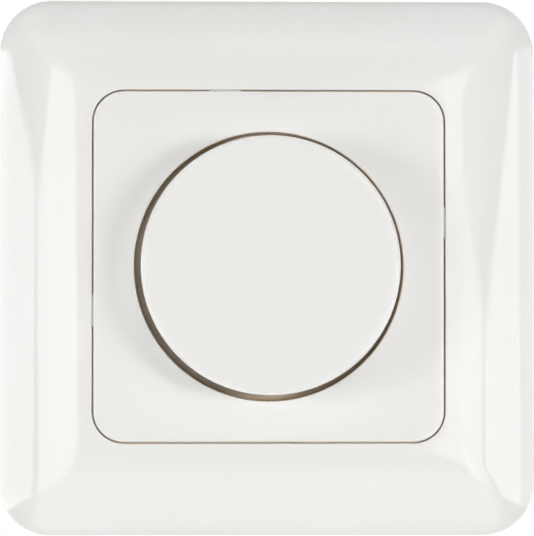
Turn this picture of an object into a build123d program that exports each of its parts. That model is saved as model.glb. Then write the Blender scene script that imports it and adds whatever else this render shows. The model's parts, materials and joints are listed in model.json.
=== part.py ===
from build123d import *
import math
import os

# A flush-mounted wall dimmer: push the knob to switch, turn it to dim.
# Modelled with x to the right, y up and z out of the wall, z = 0 being the wall.
# Each solid is turned on export so that the front faces -Y and up is +Z.

# Cover frame: a hollow convex square
frame_size = 85.0
frame_corner_radius = 8.2
frame_mitre_radius = 2.6
frame_height = 9.6
frame_rim_height = 1.0
frame_top_tilt = 4.0
frame_wall = 2.0
frame_stations = 8
frame_ledge_width = 1.5
frame_ledge_thickness = 1.7
frame_collar_wall = 1.5
frame_rib_thickness = 1.2
frame_rib_offset = 17.0
frame_rib_level = 3.0

# Centre plate with its round recess
plate_size = 55.0
plate_corner_radius = 4.8
plate_gap = 0.25
plate_thickness = 2.4
plate_edge_round = 0.3
plate_skirt_wall = 1.5
plate_skirt_depth = 2.2
recess_gap = 1.1
recess_wall = 1.6
recess_floor = 2.0
centring_rib_length = 5.0
centring_rib_offset = 6.9
centring_rib_set_back = 0.45
centring_rib_reach = 0.2

# Knob: how it stands, and its hollow underside
knob_radius = 20.05
knob_draft = 0.12
knob_stand = 10.0
knob_sink = 2.2
knob_edge_round = 0.7
knob_wall = 1.6
knob_roof = 1.8
knob_hub_wall = 2.3
knob_rib_count = 6
knob_rib_thickness = 1.0
knob_rib_lift = 3.0
knob_slot_width = 0.9
knob_push_travel = 1.5
knob_push_play = 0.2
knob_turn_half_range = 135.0
clip_groove_depth = 0.5
clip_thickness = 0.8
clip_height = 1.8
clip_lift = 0.8
clip_mouth_angle = 50.0

# Fits shared by all pieces
close_fit = 0.03
running_fit = 0.05
loose_fit = 0.2
side_play = 0.3

# Support plate of stamped steel, standing on the wall
support_size = 71.0
support_corner_cut = 7.0
support_thickness = 1.2
box_screw_spacing = 60.0
box_screw_hole_radius = 1.9
levelling_slot_radius = 31.0
levelling_slot_length = 11.0
levelling_slot_width = 3.8

# Threaded bushing, fixing nut and lock washer
bushing_radius = 5.0
bushing_overrun = 1.0
washer_radius = 7.6
washer_thickness = 0.5
washer_teeth = 12
washer_tooth_depth = 0.9
nut_across_flats = 14.0
nut_thickness = 2.5

# Housing behind the wall line
housing_radius = 25.5
housing_half_width = 21.0
housing_depth = 25.0
housing_wall = 1.5
housing_foot_round = 1.2
boss_radius = 2.4
plate_screw_radius = 1.2
plate_screw_head_radius = 2.3
plate_screw_length = 9.0
board_rest_width = 1.5
board_rest_length = 6.0
board_rest_offset = 7.0
vent_count = 5
vent_width = 1.6
vent_length = 12.0
vent_pitch = 4.0
vent_centre = 13.0

# Spreading claws, right side; the left side is its mirror image
claw_pivot_depth = 3.2
claw_eye_radius = 1.7
claw_pin_radius = 0.8
claw_width = 8.8
claw_sheet = 1.2
claw_tail_reach = 6.3
claw_leg_end = 20.2
claw_tooth_reach = 1.2
claw_tooth_count = 3
claw_swing = 18.0
claw_screw_arm = 3.8
claw_screw_overrun = 2.5
claw_nut_radius = 2.0
claw_nut_length = 8.0
claw_nut_play = 0.1
ear_thickness = 1.2
ear_half_width = 1.8

# Screws of the claws and terminals
screw_radius = 1.45
screw_hole_radius = 1.6
screw_head_radius = 2.6
screw_head_height = 1.9
screw_slot_width = 0.8
screw_slot_depth = 0.9

# Circuit board and heat sink
board_thickness = 1.6
heat_sink_thickness = 1.5
heat_sink_half_width = 13.0
heat_sink_low = 20.0
heat_sink_high = 7.5

# Potentiometer, wiper and control shaft
pot_cup_height = 6.5
pot_wall = 1.05
pot_cover = 1.5
pot_floor = 1.8
carrier_radius = 3.9
carrier_thickness = 2.8
carrier_lug = 1.0
carrier_lug_half_angle = 12.0
stop_play_angle = 0.6
track_thickness = 0.2
track_width = 1.2
wiper_thickness = 0.25
wiper_half_angle = 14.0
shaft_radius = 3.0
shaft_flat = 1.5
shaft_grip = 7.6
spindle_radius = 2.0
spindle_flat = 1.3
spindle_shoulder = 2.5
spindle_set_back = 0.5

# Push switch behind the board
switch_size = 8.0
switch_height = 8.0
switch_wall = 1.0
switch_roof = 1.5
plunger_radius = 1.7
plunger_flange_radius = 2.75
plunger_flange = 1.0
plunger_play = 0.1
spring_wire = 0.5
spring_turns = 4

# Terminals with rising cages
terminal_count = 3
terminal_pitch = 9.5
terminal_drop = 6.4
terminal_bar_width = 4.0
terminal_bar_front = -10.1
terminal_bar_thickness = 1.0
terminal_bar_overrun = 0.7
terminal_pin_width = 1.2
terminal_opening = 3.4
terminal_travel = 3.2
cage_half_width = 3.2
cage_half_length = 3.0
cage_side_wall = 1.0
cage_clamp_wall = 1.2
cage_thread_wall = 1.8
cage_end_play = 0.4
block_end_wall = 2.6
block_wall = 0.75
block_seat_wall = 1.0
block_head_cover = 1.7
wire_hole_size = 3.2
wire_hole_round = 0.8
wire_funnel = 0.5

# Power and small components
triac_width = 10.0
triac_body_length = 9.0
triac_tab_length = 6.3
triac_body_height = 4.5
triac_tab_height = 1.3
triac_x = -8.0
triac_y = -14.4
triac_hole_inset = 2.8
triac_lead_pitch = 2.54
triac_lead_width = 0.8
triac_lead_thickness = 0.5
triac_lead_run = 1.8
triac_screw_head_height = 1.6
choke_x = -7.2
choke_y = 12.0
choke_outer_radius = 7.0
choke_inner_radius = 3.7
choke_height = 6.0
choke_wire = 0.8
choke_turns = 18
suppressor_x = 10.5
suppressor_y = 11.2
suppressor_length = 12.0
suppressor_width = 6.5
suppressor_rear_gap = 1.9
timing_x = 10.4
timing_y = 0.0
timing_length = 7.2
timing_width = 2.6
timing_height = 6.0
capacitor_edge_round = 0.5
fuse_y = 13.0
fuse_length = 20.0
fuse_radius = 2.5
fuse_cap_length = 5.0
fuse_cap_wall = 0.15
fuse_lift = 0.8
fuse_clip_width = 4.0
fuse_clip_wall = 0.6
resistor_radius = 1.15
resistor_length = 6.2
resistor_positions = ((-9.2, 0.0), (-12.4, 0.0))
diac_radius = 0.95
diac_length = 4.0
diac_position = (-13.5, -8.6)
lead_radius = 0.3
lead_reach = 1.4

# Levels and sizes that follow
opening_size = plate_size + 2 * plate_gap
opening_corner_radius = plate_corner_radius + plate_gap
ledge_level = frame_height - plate_thickness
ledge_size = opening_size - 2 * frame_ledge_width
ledge_corner_radius = opening_corner_radius - frame_ledge_width
collar_size = opening_size + 2 * frame_collar_wall
collar_bottom = ledge_level - frame_ledge_thickness
recess_radius = knob_radius + recess_gap
recess_level = support_thickness + recess_floor
nut_level = recess_level + washer_thickness
bushing_top = nut_level + nut_thickness + bushing_overrun
bushing_hole_radius = bushing_radius + loose_fit
knob_top = frame_height + knob_stand
knob_bottom = frame_height - knob_sink
knob_hub_radius = shaft_radius + knob_hub_wall
hub_bottom = bushing_top + knob_push_travel + knob_push_play
shaft_top = hub_bottom + shaft_grip
housing_inner_radius = housing_radius - housing_wall
housing_inner_width = housing_half_width - housing_wall
boss_offset = housing_inner_width - side_play - boss_radius
board_radius = housing_inner_radius - side_play
board_half_width = housing_inner_width - side_play
board_front = heat_sink_thickness + pot_cover + pot_cup_height
board_back = board_front + board_thickness
board_hole_radius = spindle_radius + 2 * loose_fit
suppressor_height = housing_depth - housing_wall - suppressor_rear_gap - board_back
claw_pivot_x = housing_half_width + side_play + claw_eye_radius
claw_screw_x = claw_pivot_x + claw_screw_arm
claw_tail_low = claw_pivot_depth + claw_eye_radius + claw_sheet
claw_nut_level = claw_tail_low + claw_nut_radius + claw_nut_play
claw_screw_end = claw_nut_level + claw_screw_overrun
screw_thread_radius = screw_radius + running_fit
screw_access_radius = screw_head_radius + side_play
carrier_lug_reach = carrier_radius + carrier_lug
pot_cavity_radius = carrier_lug_reach + side_play
pot_size = 2 * (pot_cavity_radius + pot_wall)
stop_inner_radius = carrier_radius + side_play
track_outer_radius = carrier_radius + loose_fit
track_inner_radius = track_outer_radius - track_width
carrier_back = board_front - pot_floor - track_thickness - running_fit - wiper_thickness
spindle_end = board_back - spindle_set_back
switch_cavity_radius = plunger_flange_radius + loose_fit
switch_mouth_radius = spindle_radius + loose_fit
plunger_shoulder = board_back + switch_roof + plunger_play
spring_radius = plunger_flange_radius - 1.5 * spring_wire
cage_low = terminal_bar_front - terminal_bar_thickness - cage_end_play - cage_thread_wall
cage_high = terminal_bar_front + terminal_opening + cage_clamp_wall
seat_level = cage_low - terminal_travel - cage_end_play
head_level = seat_level - block_seat_wall
terminal_screw_level = board_back + terminal_drop
terminal_bar_end = terminal_screw_level + cage_half_length + terminal_bar_overrun
terminal_columns = [(i - (terminal_count - 1) / 2) * terminal_pitch for i in range(terminal_count)]
block_rear = housing_depth - side_play
block_radius = housing_inner_radius - side_play
block_low = head_level - screw_head_height - block_head_cover
block_high = cage_high + side_play + block_wall
block_half_width = terminal_columns[-1] + cage_half_width + side_play + block_end_wall
choke_level = board_back + choke_height / 2 + choke_wire + 2 * running_fit
fuse_level = board_front - fuse_lift - fuse_radius - fuse_cap_wall


def block(x0, x1, y0, y1, z0, z1):
    """Box between two corners."""
    centre = Pos((x0 + x1) / 2, (y0 + y1) / 2, (z0 + z1) / 2)
    return centre * Box(x1 - x0, y1 - y0, z1 - z0)


def disc(radius, z0, z1, x=0.0, y=0.0):
    """Cylinder along z between two levels."""
    return Pos(x, y, (z0 + z1) / 2) * Cylinder(radius, z1 - z0)


def rod_y(radius, x, z, y0, y1):
    """Cylinder along y between two heights."""
    return Pos(x, (y0 + y1) / 2, z) * Rot(90, 0, 0) * Cylinder(radius, y1 - y0)


def rod_x(radius, y, z, x0, x1):
    """Cylinder along x between two places."""
    return Pos((x0 + x1) / 2, y, z) * Rot(0, 90, 0) * Cylinder(radius, x1 - x0)


def ring(outer, inner, z0, z1):
    """Tube along z between two levels."""
    return disc(outer, z0, z1) - disc(inner, z0, z1)


def slab(size, corner, z0, z1):
    """Rounded square between two levels."""
    return Pos(0, 0, z0) * extrude(RectangleRounded(size, size, corner), amount=z1 - z0)


def wedge(radius, half_angle, z0, z1, middle=0.0):
    """Sector of a disc, half_angle to each side of the direction middle."""
    start = math.radians(middle - half_angle)
    mid = math.radians(middle)
    end = math.radians(middle + half_angle)
    first = (radius * math.cos(start), radius * math.sin(start))
    far = (radius * math.cos(mid), radius * math.sin(mid))
    last = (radius * math.cos(end), radius * math.sin(end))
    outline = Line((0, 0), first) + ThreePointArc(first, far, last) + Line(last, (0, 0))
    return Pos(0, 0, z0) * extrude(make_face(outline), amount=z1 - z0)


def d_rod(radius, flat, z0, z1):
    """Round bar with one flat towards +y."""
    return disc(radius, z0, z1) - block(-radius, radius, flat, 2 * radius, z0, z1)


def slotted_screw(length):
    """Screw along -z: the head stands on z = 0, a slot across its top."""
    head = disc(screw_head_radius, 0, screw_head_height)
    top_edge = head.edges().group_by(Axis.Z)[-1]
    head = fillet(top_edge, screw_head_height / 4)
    floor = screw_head_height - screw_slot_depth
    slot = block(-screw_head_radius, screw_head_radius, -screw_slot_width / 2, screw_slot_width / 2,
                 floor, screw_head_height)
    return head - slot + disc(screw_radius, -length, 0)


def dome(half, corner, rim, top):
    """Convex pillow: rounded squares along an arc from the rim up to the opening edge."""
    run = half - opening_size / 2
    rise = top - rim
    end_tilt = math.radians(frame_top_tilt)
    start_tilt = 2 * math.atan2(rise, run) - end_tilt
    arc_radius = run / (math.sin(start_tilt) - math.sin(end_tilt))
    sections = []
    for i in range(frame_stations + 1):
        tilt = start_tilt + (end_tilt - start_tilt) * i / frame_stations
        inset = arc_radius * (math.sin(start_tilt) - math.sin(tilt))
        level = rim + arc_radius * (math.cos(tilt) - math.cos(start_tilt))
        side = 2 * (half - inset)
        round_off = max(corner - inset, frame_mitre_radius)
        sections.append(Pos(0, 0, level) * RectangleRounded(side, side, round_off))
    return slab(2 * half, corner, 0, rim) + loft(sections)


def make_cover_frame():
    """Hollow pillow with a stepped opening for the plate and ribs on its back."""
    half = frame_size / 2
    skin = dome(half, frame_corner_radius, frame_rim_height, frame_height)
    hollow = dome(half - frame_wall, frame_corner_radius - frame_wall, frame_rim_height,
                  frame_height - frame_wall)
    collar_corner = opening_corner_radius + frame_collar_wall
    collar = slab(collar_size, collar_corner, collar_bottom, frame_height - frame_wall / 2)
    rib = block(collar_size / 2 - frame_collar_wall / 2, half - frame_wall / 2,
                -frame_rib_thickness / 2, frame_rib_thickness / 2, frame_rib_level, frame_height)
    ribs = []
    for turn in range(4):
        for side in (-1, 1):
            ribs.append(Rot(0, 0, 90 * turn) * Pos(0, side * frame_rib_offset, 0) * rib)
    stiffening = Part() + ribs
    body = skin - hollow + collar + (stiffening & skin)
    body -= slab(opening_size, opening_corner_radius, ledge_level, frame_height + frame_wall)
    body -= slab(ledge_size, ledge_corner_radius, 0, frame_height)
    return body


def make_centre_plate():
    """Square plate with a round cup that is clamped under the nut."""
    plate = slab(plate_size, plate_corner_radius, ledge_level, frame_height)
    plate = fillet(plate.edges().group_by(Axis.Z)[-1], plate_edge_round)
    skirt_size = ledge_size - 2 * plate_gap
    skirt_corner = ledge_corner_radius - plate_gap
    skirt_bottom = ledge_level - plate_skirt_depth
    skirt = slab(skirt_size, skirt_corner, skirt_bottom, ledge_level)
    skirt -= slab(skirt_size - 2 * plate_skirt_wall, skirt_corner - plate_skirt_wall,
                  skirt_bottom, ledge_level)
    cup_radius = recess_radius + recess_wall
    cup = disc(cup_radius, support_thickness, ledge_level)
    stays = []
    for turn in range(4):
        stay = block(cup_radius - recess_wall / 2, skirt_size / math.sqrt(2) - plate_skirt_wall * 2,
                     -plate_skirt_wall / 2, plate_skirt_wall / 2, skirt_bottom, ledge_level)
        stays.append(Rot(0, 0, 45 + 90 * turn) * stay)
    body = plate + skirt + cup + stays
    recess = disc(recess_radius, recess_level, frame_height)
    body -= recess
    rim = body.edges().filter_by(GeomType.CIRCLE).group_by(Axis.Z)[-1]
    rim = rim.filter_by(lambda edge: abs(edge.radius - recess_radius) < close_fit)
    body = chamfer(rim, plate_edge_round)
    body -= disc(bushing_hole_radius, support_thickness, recess_level)
    rib = block(plate_size / 2 - plate_skirt_wall, plate_size / 2 + centring_rib_reach,
                -centring_rib_length / 2, centring_rib_length / 2,
                ledge_level + centring_rib_set_back, frame_height - centring_rib_set_back)
    for turn in range(4):
        body += Rot(0, 0, 90 * turn) * Pos(0, centring_rib_offset, 0) * rib
    return body


def make_knob():
    """Cup with a slotted hub, a flat-sided bore and stiffening ribs."""
    outline = Polyline((0, knob_bottom), (knob_radius + knob_draft, knob_bottom),
                       (knob_radius, knob_top), (0, knob_top), close=True)
    body = revolve(Plane.XZ * make_face(outline), Axis.Z)
    body = fillet(body.edges().group_by(Axis.Z)[-1], knob_edge_round)
    inner_radius = knob_radius - knob_wall
    roof_level = knob_top - knob_roof
    body -= disc(inner_radius, knob_bottom, roof_level)
    hub = disc(knob_hub_radius, hub_bottom, roof_level)
    rib = block(knob_hub_radius - clip_thickness, inner_radius + knob_wall / 2,
                -knob_rib_thickness / 2, knob_rib_thickness / 2, hub_bottom + knob_rib_lift, roof_level)
    ribs = []
    for i in range(knob_rib_count):
        ribs.append(Rot(0, 0, 360 / knob_rib_count * i) * rib)
    body = body + hub + ribs
    body -= d_rod(shaft_radius + close_fit, shaft_flat + close_fit, hub_bottom, shaft_top + loose_fit)
    body -= block(-knob_hub_radius, knob_hub_radius, -knob_slot_width / 2, knob_slot_width / 2,
                  hub_bottom, hub_bottom + knob_rib_lift)
    groove_level = hub_bottom + clip_lift
    body -= ring(knob_hub_radius, knob_hub_radius - clip_groove_depth, groove_level,
                 groove_level + clip_height + close_fit)
    return body


def make_knob_clip():
    """Open spring ring round the slotted hub."""
    inner = knob_hub_radius - clip_groove_depth + close_fit
    level = hub_bottom + clip_lift
    band = ring(inner + clip_thickness, inner, level, level + clip_height)
    return band - wedge(2 * inner, clip_mouth_angle / 2, level, level + clip_height, -90)


def make_lock_washer():
    """Flat washer with teeth round its rim."""
    band = ring(washer_radius, bushing_radius + running_fit, recess_level, recess_level + washer_thickness)
    notch = block(washer_radius - washer_tooth_depth, washer_radius + washer_tooth_depth,
                  -washer_tooth_depth / 2, washer_tooth_depth / 2,
                  recess_level, recess_level + washer_thickness)
    return band - [Rot(0, 0, 360 / washer_teeth * i) * notch for i in range(washer_teeth)]


def make_fixing_nut():
    """Flat hexagon nut on the bushing."""
    hexagon = RegularPolygon(nut_across_flats / 2, 6, major_radius=False)
    body = Pos(0, 0, nut_level) * extrude(hexagon, amount=nut_thickness)
    body -= disc(bushing_radius + close_fit, nut_level, nut_level + nut_thickness)
    return chamfer(body.edges().filter_by(GeomType.CIRCLE), 3 * close_fit)


def make_support_plate():
    """Stamped plate with cut corners, holes, levelling slots and ears bent back for the claws."""
    outline = chamfer(Rectangle(support_size, support_size).vertices(), support_corner_cut)
    body = extrude(outline, amount=support_thickness)
    body -= disc(bushing_hole_radius, 0, support_thickness)
    for side in (-1, 1):
        body -= disc(box_screw_hole_radius, 0, support_thickness, 0, side * box_screw_spacing / 2)
        body -= disc(screw_hole_radius, 0, support_thickness, side * claw_screw_x)
        sink = Pos(side * boss_offset, 0, support_thickness / 2)
        body -= sink * Cone(plate_screw_radius + close_fit, plate_screw_head_radius + close_fit,
                            support_thickness)
    slot = extrude(SlotOverall(levelling_slot_length, levelling_slot_width), amount=support_thickness)
    for turn in range(4):
        body -= Rot(0, 0, 45 + 90 * turn) * Pos(levelling_slot_radius, 0, 0) * Rot(0, 0, 90) * slot
    ear_inner = claw_width / 2 + loose_fit
    pin_hole = claw_pin_radius + close_fit
    for side in (-1, 1):
        x = side * claw_pivot_x
        for lug in (-1, 1):
            y = lug * (ear_inner + ear_thickness / 2)
            ear = block(x - ear_half_width, x + ear_half_width, y - ear_thickness / 2, y + ear_thickness / 2,
                        -claw_pivot_depth, 0)
            tip = rod_y(ear_half_width, x, -claw_pivot_depth, y - ear_thickness / 2, y + ear_thickness / 2)
            body += [ear, tip]
        reach = ear_inner + ear_thickness
        body -= rod_y(pin_hole, x, -claw_pivot_depth, -reach, reach)
    return body


def housing_outline(inset, z0, z1):
    """Round cup outline with flat sides where the claws lie, drawn in by an inset."""
    width = housing_half_width - inset
    round_part = disc(housing_radius - inset, z0, z1)
    return round_part & block(-width, width, -housing_radius, housing_radius, z0, z1)


def make_housing():
    """Cup with screw bosses, board rests, cooling slots, terminal window and screw holes."""
    body = housing_outline(0, -housing_depth, 0)
    body = fillet(body.edges().group_by(Axis.Z)[0], housing_foot_round)
    floor = -housing_depth + housing_wall
    body -= housing_outline(housing_wall, floor, 0)
    for side in (-1, 1):
        boss = disc(boss_radius, floor, 0, side * boss_offset)
        web = block(boss_offset, housing_inner_width, -housing_wall / 2, housing_wall / 2, floor, 0)
        body += [boss, web if side > 0 else mirror(web, about=Plane.YZ)]
        for end in (-1, 1):
            x = side * (housing_inner_width - board_rest_width / 2)
            y = end * board_rest_offset
            body += block(x - board_rest_width / 2, x + board_rest_width / 2,
                          y - board_rest_length / 2, y + board_rest_length / 2, floor, -board_back)
    for side in (-1, 1):
        body -= disc(plate_screw_radius + close_fit, -plate_screw_length - close_fit, 0, side * boss_offset)
    body -= terminal_block_outline(side_play, -housing_depth, floor)
    slot = extrude(SlotOverall(vent_length, vent_width), amount=housing_wall)
    for i in range(vent_count):
        x = (i - (vent_count - 1) / 2) * vent_pitch
        body -= Pos(x, vent_centre, -housing_depth) * Rot(0, 0, 90) * slot
    for x in terminal_columns:
        body -= rod_y(screw_access_radius, x, -terminal_screw_level, -housing_radius, head_level)
    return body


def make_plate_screws():
    """Two countersunk screws through the support plate into the housing bosses."""
    cone = Cone(plate_screw_radius, plate_screw_head_radius, support_thickness)
    head = Pos(0, 0, support_thickness / 2) * cone
    screw = head + disc(plate_screw_radius, -plate_screw_length, 0)
    screw -= block(-plate_screw_head_radius, plate_screw_head_radius, -screw_slot_width / 2,
                   screw_slot_width / 2, support_thickness / 2, support_thickness)
    return Compound([Pos(side * boss_offset, 0, 0) * screw for side in (-1, 1)])


def make_claw():
    """Bent lever: eye on the pin, slotted tail over the nut, toothed leg along the housing."""
    x = claw_pivot_x
    half = claw_width / 2
    leg_x = x - claw_eye_radius
    tail_top = claw_tail_low - claw_sheet
    eye = rod_y(claw_eye_radius, x, -claw_pivot_depth, -half, half)
    neck = block(leg_x, x, -half, half, -tail_top, -claw_pivot_depth)
    tail = block(leg_x, x + claw_tail_reach, -half, half, -claw_tail_low, -tail_top)
    leg = block(leg_x, leg_x + claw_sheet, -half, half, -claw_leg_end, -tail_top)
    root_x = leg_x + 2 * claw_sheet
    outline = [(leg_x, half), (leg_x, -half), (root_x, -half)]
    step = claw_width / claw_tooth_count
    for i in range(claw_tooth_count):
        outline.append((root_x + claw_tooth_reach, -half + (i + 0.5) * step))
        outline.append((root_x, -half + (i + 1) * step))
    foot = Pos(0, 0, -claw_leg_end) * extrude(make_face(Polyline(*outline, close=True)), amount=claw_sheet)
    body = eye + neck + tail + leg + foot
    swing = math.radians(claw_swing)
    drop = claw_eye_radius + claw_sheet
    shift = claw_screw_arm * (1 - math.cos(swing))
    shift += (drop - claw_screw_arm * math.sin(swing)) * math.tan(swing)
    slot_width = 2 * screw_hole_radius + 2 * claw_nut_play
    slot = SlotOverall(slot_width + shift + 2 * claw_nut_play, slot_width)
    slot_solid = extrude(slot, amount=claw_sheet)
    body -= Pos(claw_screw_x - shift / 2, 0, -claw_tail_low) * slot_solid
    body -= rod_y(claw_pin_radius + running_fit, x, -claw_pivot_depth, -half, half)
    return body


def make_claw_pin():
    """Plain pin through both ears and the eye."""
    reach = claw_width / 2 + loose_fit + ear_thickness + running_fit
    return rod_y(claw_pin_radius, claw_pivot_x, -claw_pivot_depth, -reach, reach)


def make_claw_screw():
    """Slotted screw that turns in the support plate."""
    return Pos(claw_screw_x, 0, support_thickness) * slotted_screw(support_thickness + claw_screw_end)


def make_claw_nut():
    """Cross barrel nut under the tail of the claw."""
    barrel = rod_y(claw_nut_radius, claw_screw_x, -claw_nut_level, -claw_nut_length / 2, claw_nut_length / 2)
    return barrel - disc(screw_thread_radius, -claw_nut_level - claw_nut_radius,
                         -claw_nut_level + claw_nut_radius, claw_screw_x)


def terminal_block_outline(grow, z0, z1):
    """Outline of the terminal block: a box rounded off by the cup."""
    half = block_half_width + grow
    box = block(-half, half, block_low - grow, block_high + grow, z0, z1)
    return box & disc(block_radius + grow, z0, z1)


def make_terminal_block():
    """Insulating block with a shaft for each cage, a wire funnel and a screw pocket."""
    body = terminal_block_outline(0, -block_rear, -board_back)
    shaft_end = -terminal_bar_end - cage_end_play
    half = cage_half_width + side_play
    wire_y = terminal_bar_front + terminal_opening / 2
    wire_hole = RectangleRounded(wire_hole_size, wire_hole_size, wire_hole_round)
    mouth_size = wire_hole_size + 2 * wire_funnel
    mouth = RectangleRounded(mouth_size, mouth_size, wire_hole_round + wire_funnel)
    funnel = loft([mouth, Pos(0, 0, 2 * wire_funnel) * wire_hole])
    passage = extrude(wire_hole, amount=block_rear + shaft_end)
    for x in terminal_columns:
        body -= block(x - half, x + half, seat_level, cage_high + side_play, shaft_end, -board_back)
        body -= rod_y(screw_hole_radius, x, -terminal_screw_level, head_level, seat_level)
        body -= rod_y(screw_access_radius, x, -terminal_screw_level, -housing_radius, head_level)
        body -= Pos(x, wire_y, -block_rear) * (funnel + passage)
    return body


def make_terminal_cage(x):
    """Square clamp cage: threaded wall below the bar, clamping wall above the wire."""
    body = block(x - cage_half_width, x + cage_half_width, cage_low, cage_high,
                 -terminal_screw_level - cage_half_length, -terminal_screw_level + cage_half_length)
    inner = cage_half_width - cage_side_wall
    body -= block(x - inner, x + inner, cage_low + cage_thread_wall, cage_high - cage_clamp_wall,
                  -terminal_screw_level - cage_half_length, -terminal_screw_level + cage_half_length)
    return body - rod_y(screw_thread_radius, x, -terminal_screw_level, cage_low, cage_low + cage_thread_wall)


def make_terminal_screw(x):
    """Slotted screw whose tip stands on the contact bar."""
    head_seat = head_level - running_fit
    length = terminal_bar_front - terminal_bar_thickness - running_fit - head_seat
    return Pos(x, head_seat, -terminal_screw_level) * Rot(90, 0, 0) * slotted_screw(length)


def make_terminal_bar(x):
    """Flat contact bar with a pin through the board."""
    low = terminal_bar_front - terminal_bar_thickness
    bar = block(x - terminal_bar_width / 2, x + terminal_bar_width / 2, low, terminal_bar_front,
                -terminal_bar_end, -board_back)
    pin = block(x - terminal_pin_width / 2, x + terminal_pin_width / 2, low, terminal_bar_front,
                -board_back, -board_front + lead_radius)
    return bar + pin


def make_circuit_board():
    """Round board with flat sides, boss cut-outs and holes for the pins and the plunger."""
    body = disc(board_radius, -board_back, -board_front)
    body &= block(-board_half_width, board_half_width, -board_radius, board_radius, -board_back, -board_front)
    body -= disc(board_hole_radius, -board_back, -board_front)
    for side in (-1, 1):
        cut = disc(boss_radius + lead_radius, -board_back, -board_front, side * boss_offset)
        out = block(boss_offset, board_half_width, -boss_radius - lead_radius, boss_radius + lead_radius,
                    -board_back, -board_front)
        body -= [cut, out if side > 0 else mirror(out, about=Plane.YZ)]
    low = terminal_bar_front - terminal_bar_thickness
    for x in terminal_columns:
        body -= block(x - terminal_pin_width / 2 - running_fit, x + terminal_pin_width / 2 + running_fit,
                      low - running_fit, terminal_bar_front + running_fit, -board_back, -board_front)
    return body


def make_heat_sink():
    """Aluminium plate between the support plate and the power switch."""
    body = block(-heat_sink_half_width, heat_sink_half_width, -heat_sink_low, heat_sink_high,
                 -heat_sink_thickness, 0)
    body = fillet(body.edges().filter_by(Axis.Z), heat_sink_thickness)
    body -= disc(bushing_hole_radius, -heat_sink_thickness, 0)
    return body - disc(screw_thread_radius, -heat_sink_thickness, 0, triac_x + triac_hole_inset, triac_y)


def make_pot_bushing():
    """Metal cover with the threaded tube that carries the shaft."""
    cover = block(-pot_size / 2, pot_size / 2, -pot_size / 2, pot_size / 2,
                  -heat_sink_thickness - pot_cover, -heat_sink_thickness)
    tube = disc(bushing_radius, -heat_sink_thickness, bushing_top)
    return cover + tube - disc(shaft_radius + running_fit, -heat_sink_thickness - pot_cover, bushing_top)


def make_pot_body():
    """Square cup with a stop for the wiper carrier."""
    top = -heat_sink_thickness - pot_cover
    body = block(-pot_size / 2, pot_size / 2, -pot_size / 2, pot_size / 2, -board_front, top)
    floor = -board_front + pot_floor
    body -= disc(pot_cavity_radius, floor, top)
    stop_half = 180 - knob_turn_half_range - carrier_lug_half_angle - stop_play_angle
    stop = wedge(pot_cavity_radius + close_fit, stop_half, floor, top, -90)
    body += stop - disc(stop_inner_radius, floor, top)
    return body - disc(switch_mouth_radius, -board_front, floor)


def make_resistive_track():
    """Open ring on the floor of the potentiometer."""
    level = -board_front + pot_floor
    band = ring(track_outer_radius, track_inner_radius, level, level + track_thickness)
    gap_half = 180 - knob_turn_half_range - 2 * wiper_half_angle
    return band - wedge(pot_cavity_radius, gap_half, level, level + track_thickness, -90)


def make_wiper_carrier():
    """Disc on the spindle with a lug that meets the stop."""
    top = -carrier_back + carrier_thickness
    lug = wedge(carrier_lug_reach, carrier_lug_half_angle, -carrier_back, top, 90)
    body = disc(carrier_radius, -carrier_back, top) + lug
    return body - d_rod(spindle_radius + running_fit, spindle_flat + running_fit, -carrier_back, top)


def make_wiper_contact():
    """Spring contact under the carrier, sliding on the track."""
    level = -carrier_back - wiper_thickness
    sector = wedge(carrier_radius, wiper_half_angle, level, -carrier_back, 90)
    return sector - disc(track_inner_radius, level, -carrier_back)


def make_control_shaft():
    """Shaft with a flat for the knob and a thinner spindle through the carrier."""
    body = disc(shaft_radius, -spindle_shoulder, shaft_top)
    body -= block(-shaft_radius, shaft_radius, shaft_flat, 2 * shaft_radius, hub_bottom, shaft_top)
    return body + d_rod(spindle_radius, spindle_flat, -spindle_end, -spindle_shoulder)


def make_switch_body():
    """Square switch on the back of the board, with a mouth for the plunger."""
    rear = -board_back - switch_height
    body = block(-switch_size / 2, switch_size / 2, -switch_size / 2, switch_size / 2, rear, -board_back)
    body -= disc(switch_cavity_radius, rear + switch_wall, -board_back - switch_roof)
    return body - disc(switch_mouth_radius, -board_back - switch_roof, -board_back)


def make_switch_plunger():
    """Pin with a flange that the spring pushes against the roof of the switch."""
    top = -spindle_end - running_fit
    stem = disc(plunger_radius, -plunger_shoulder, top)
    return stem + disc(plunger_flange_radius, -plunger_shoulder - plunger_flange, -plunger_shoulder)


def make_switch_spring():
    """Coil spring of square wire under the plunger."""
    low = -board_back - switch_height + switch_wall + spring_wire / 2
    high = -plunger_shoulder - plunger_flange - spring_wire / 2
    coil = Pos(0, 0, low) * Helix((high - low) / spring_turns, high - low, spring_radius)
    start = Plane(origin=coil @ 0, z_dir=coil % 0, x_dir=(1, 0, 0))
    return sweep(start * Rectangle(spring_wire, spring_wire), path=coil, is_frenet=True)


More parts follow.
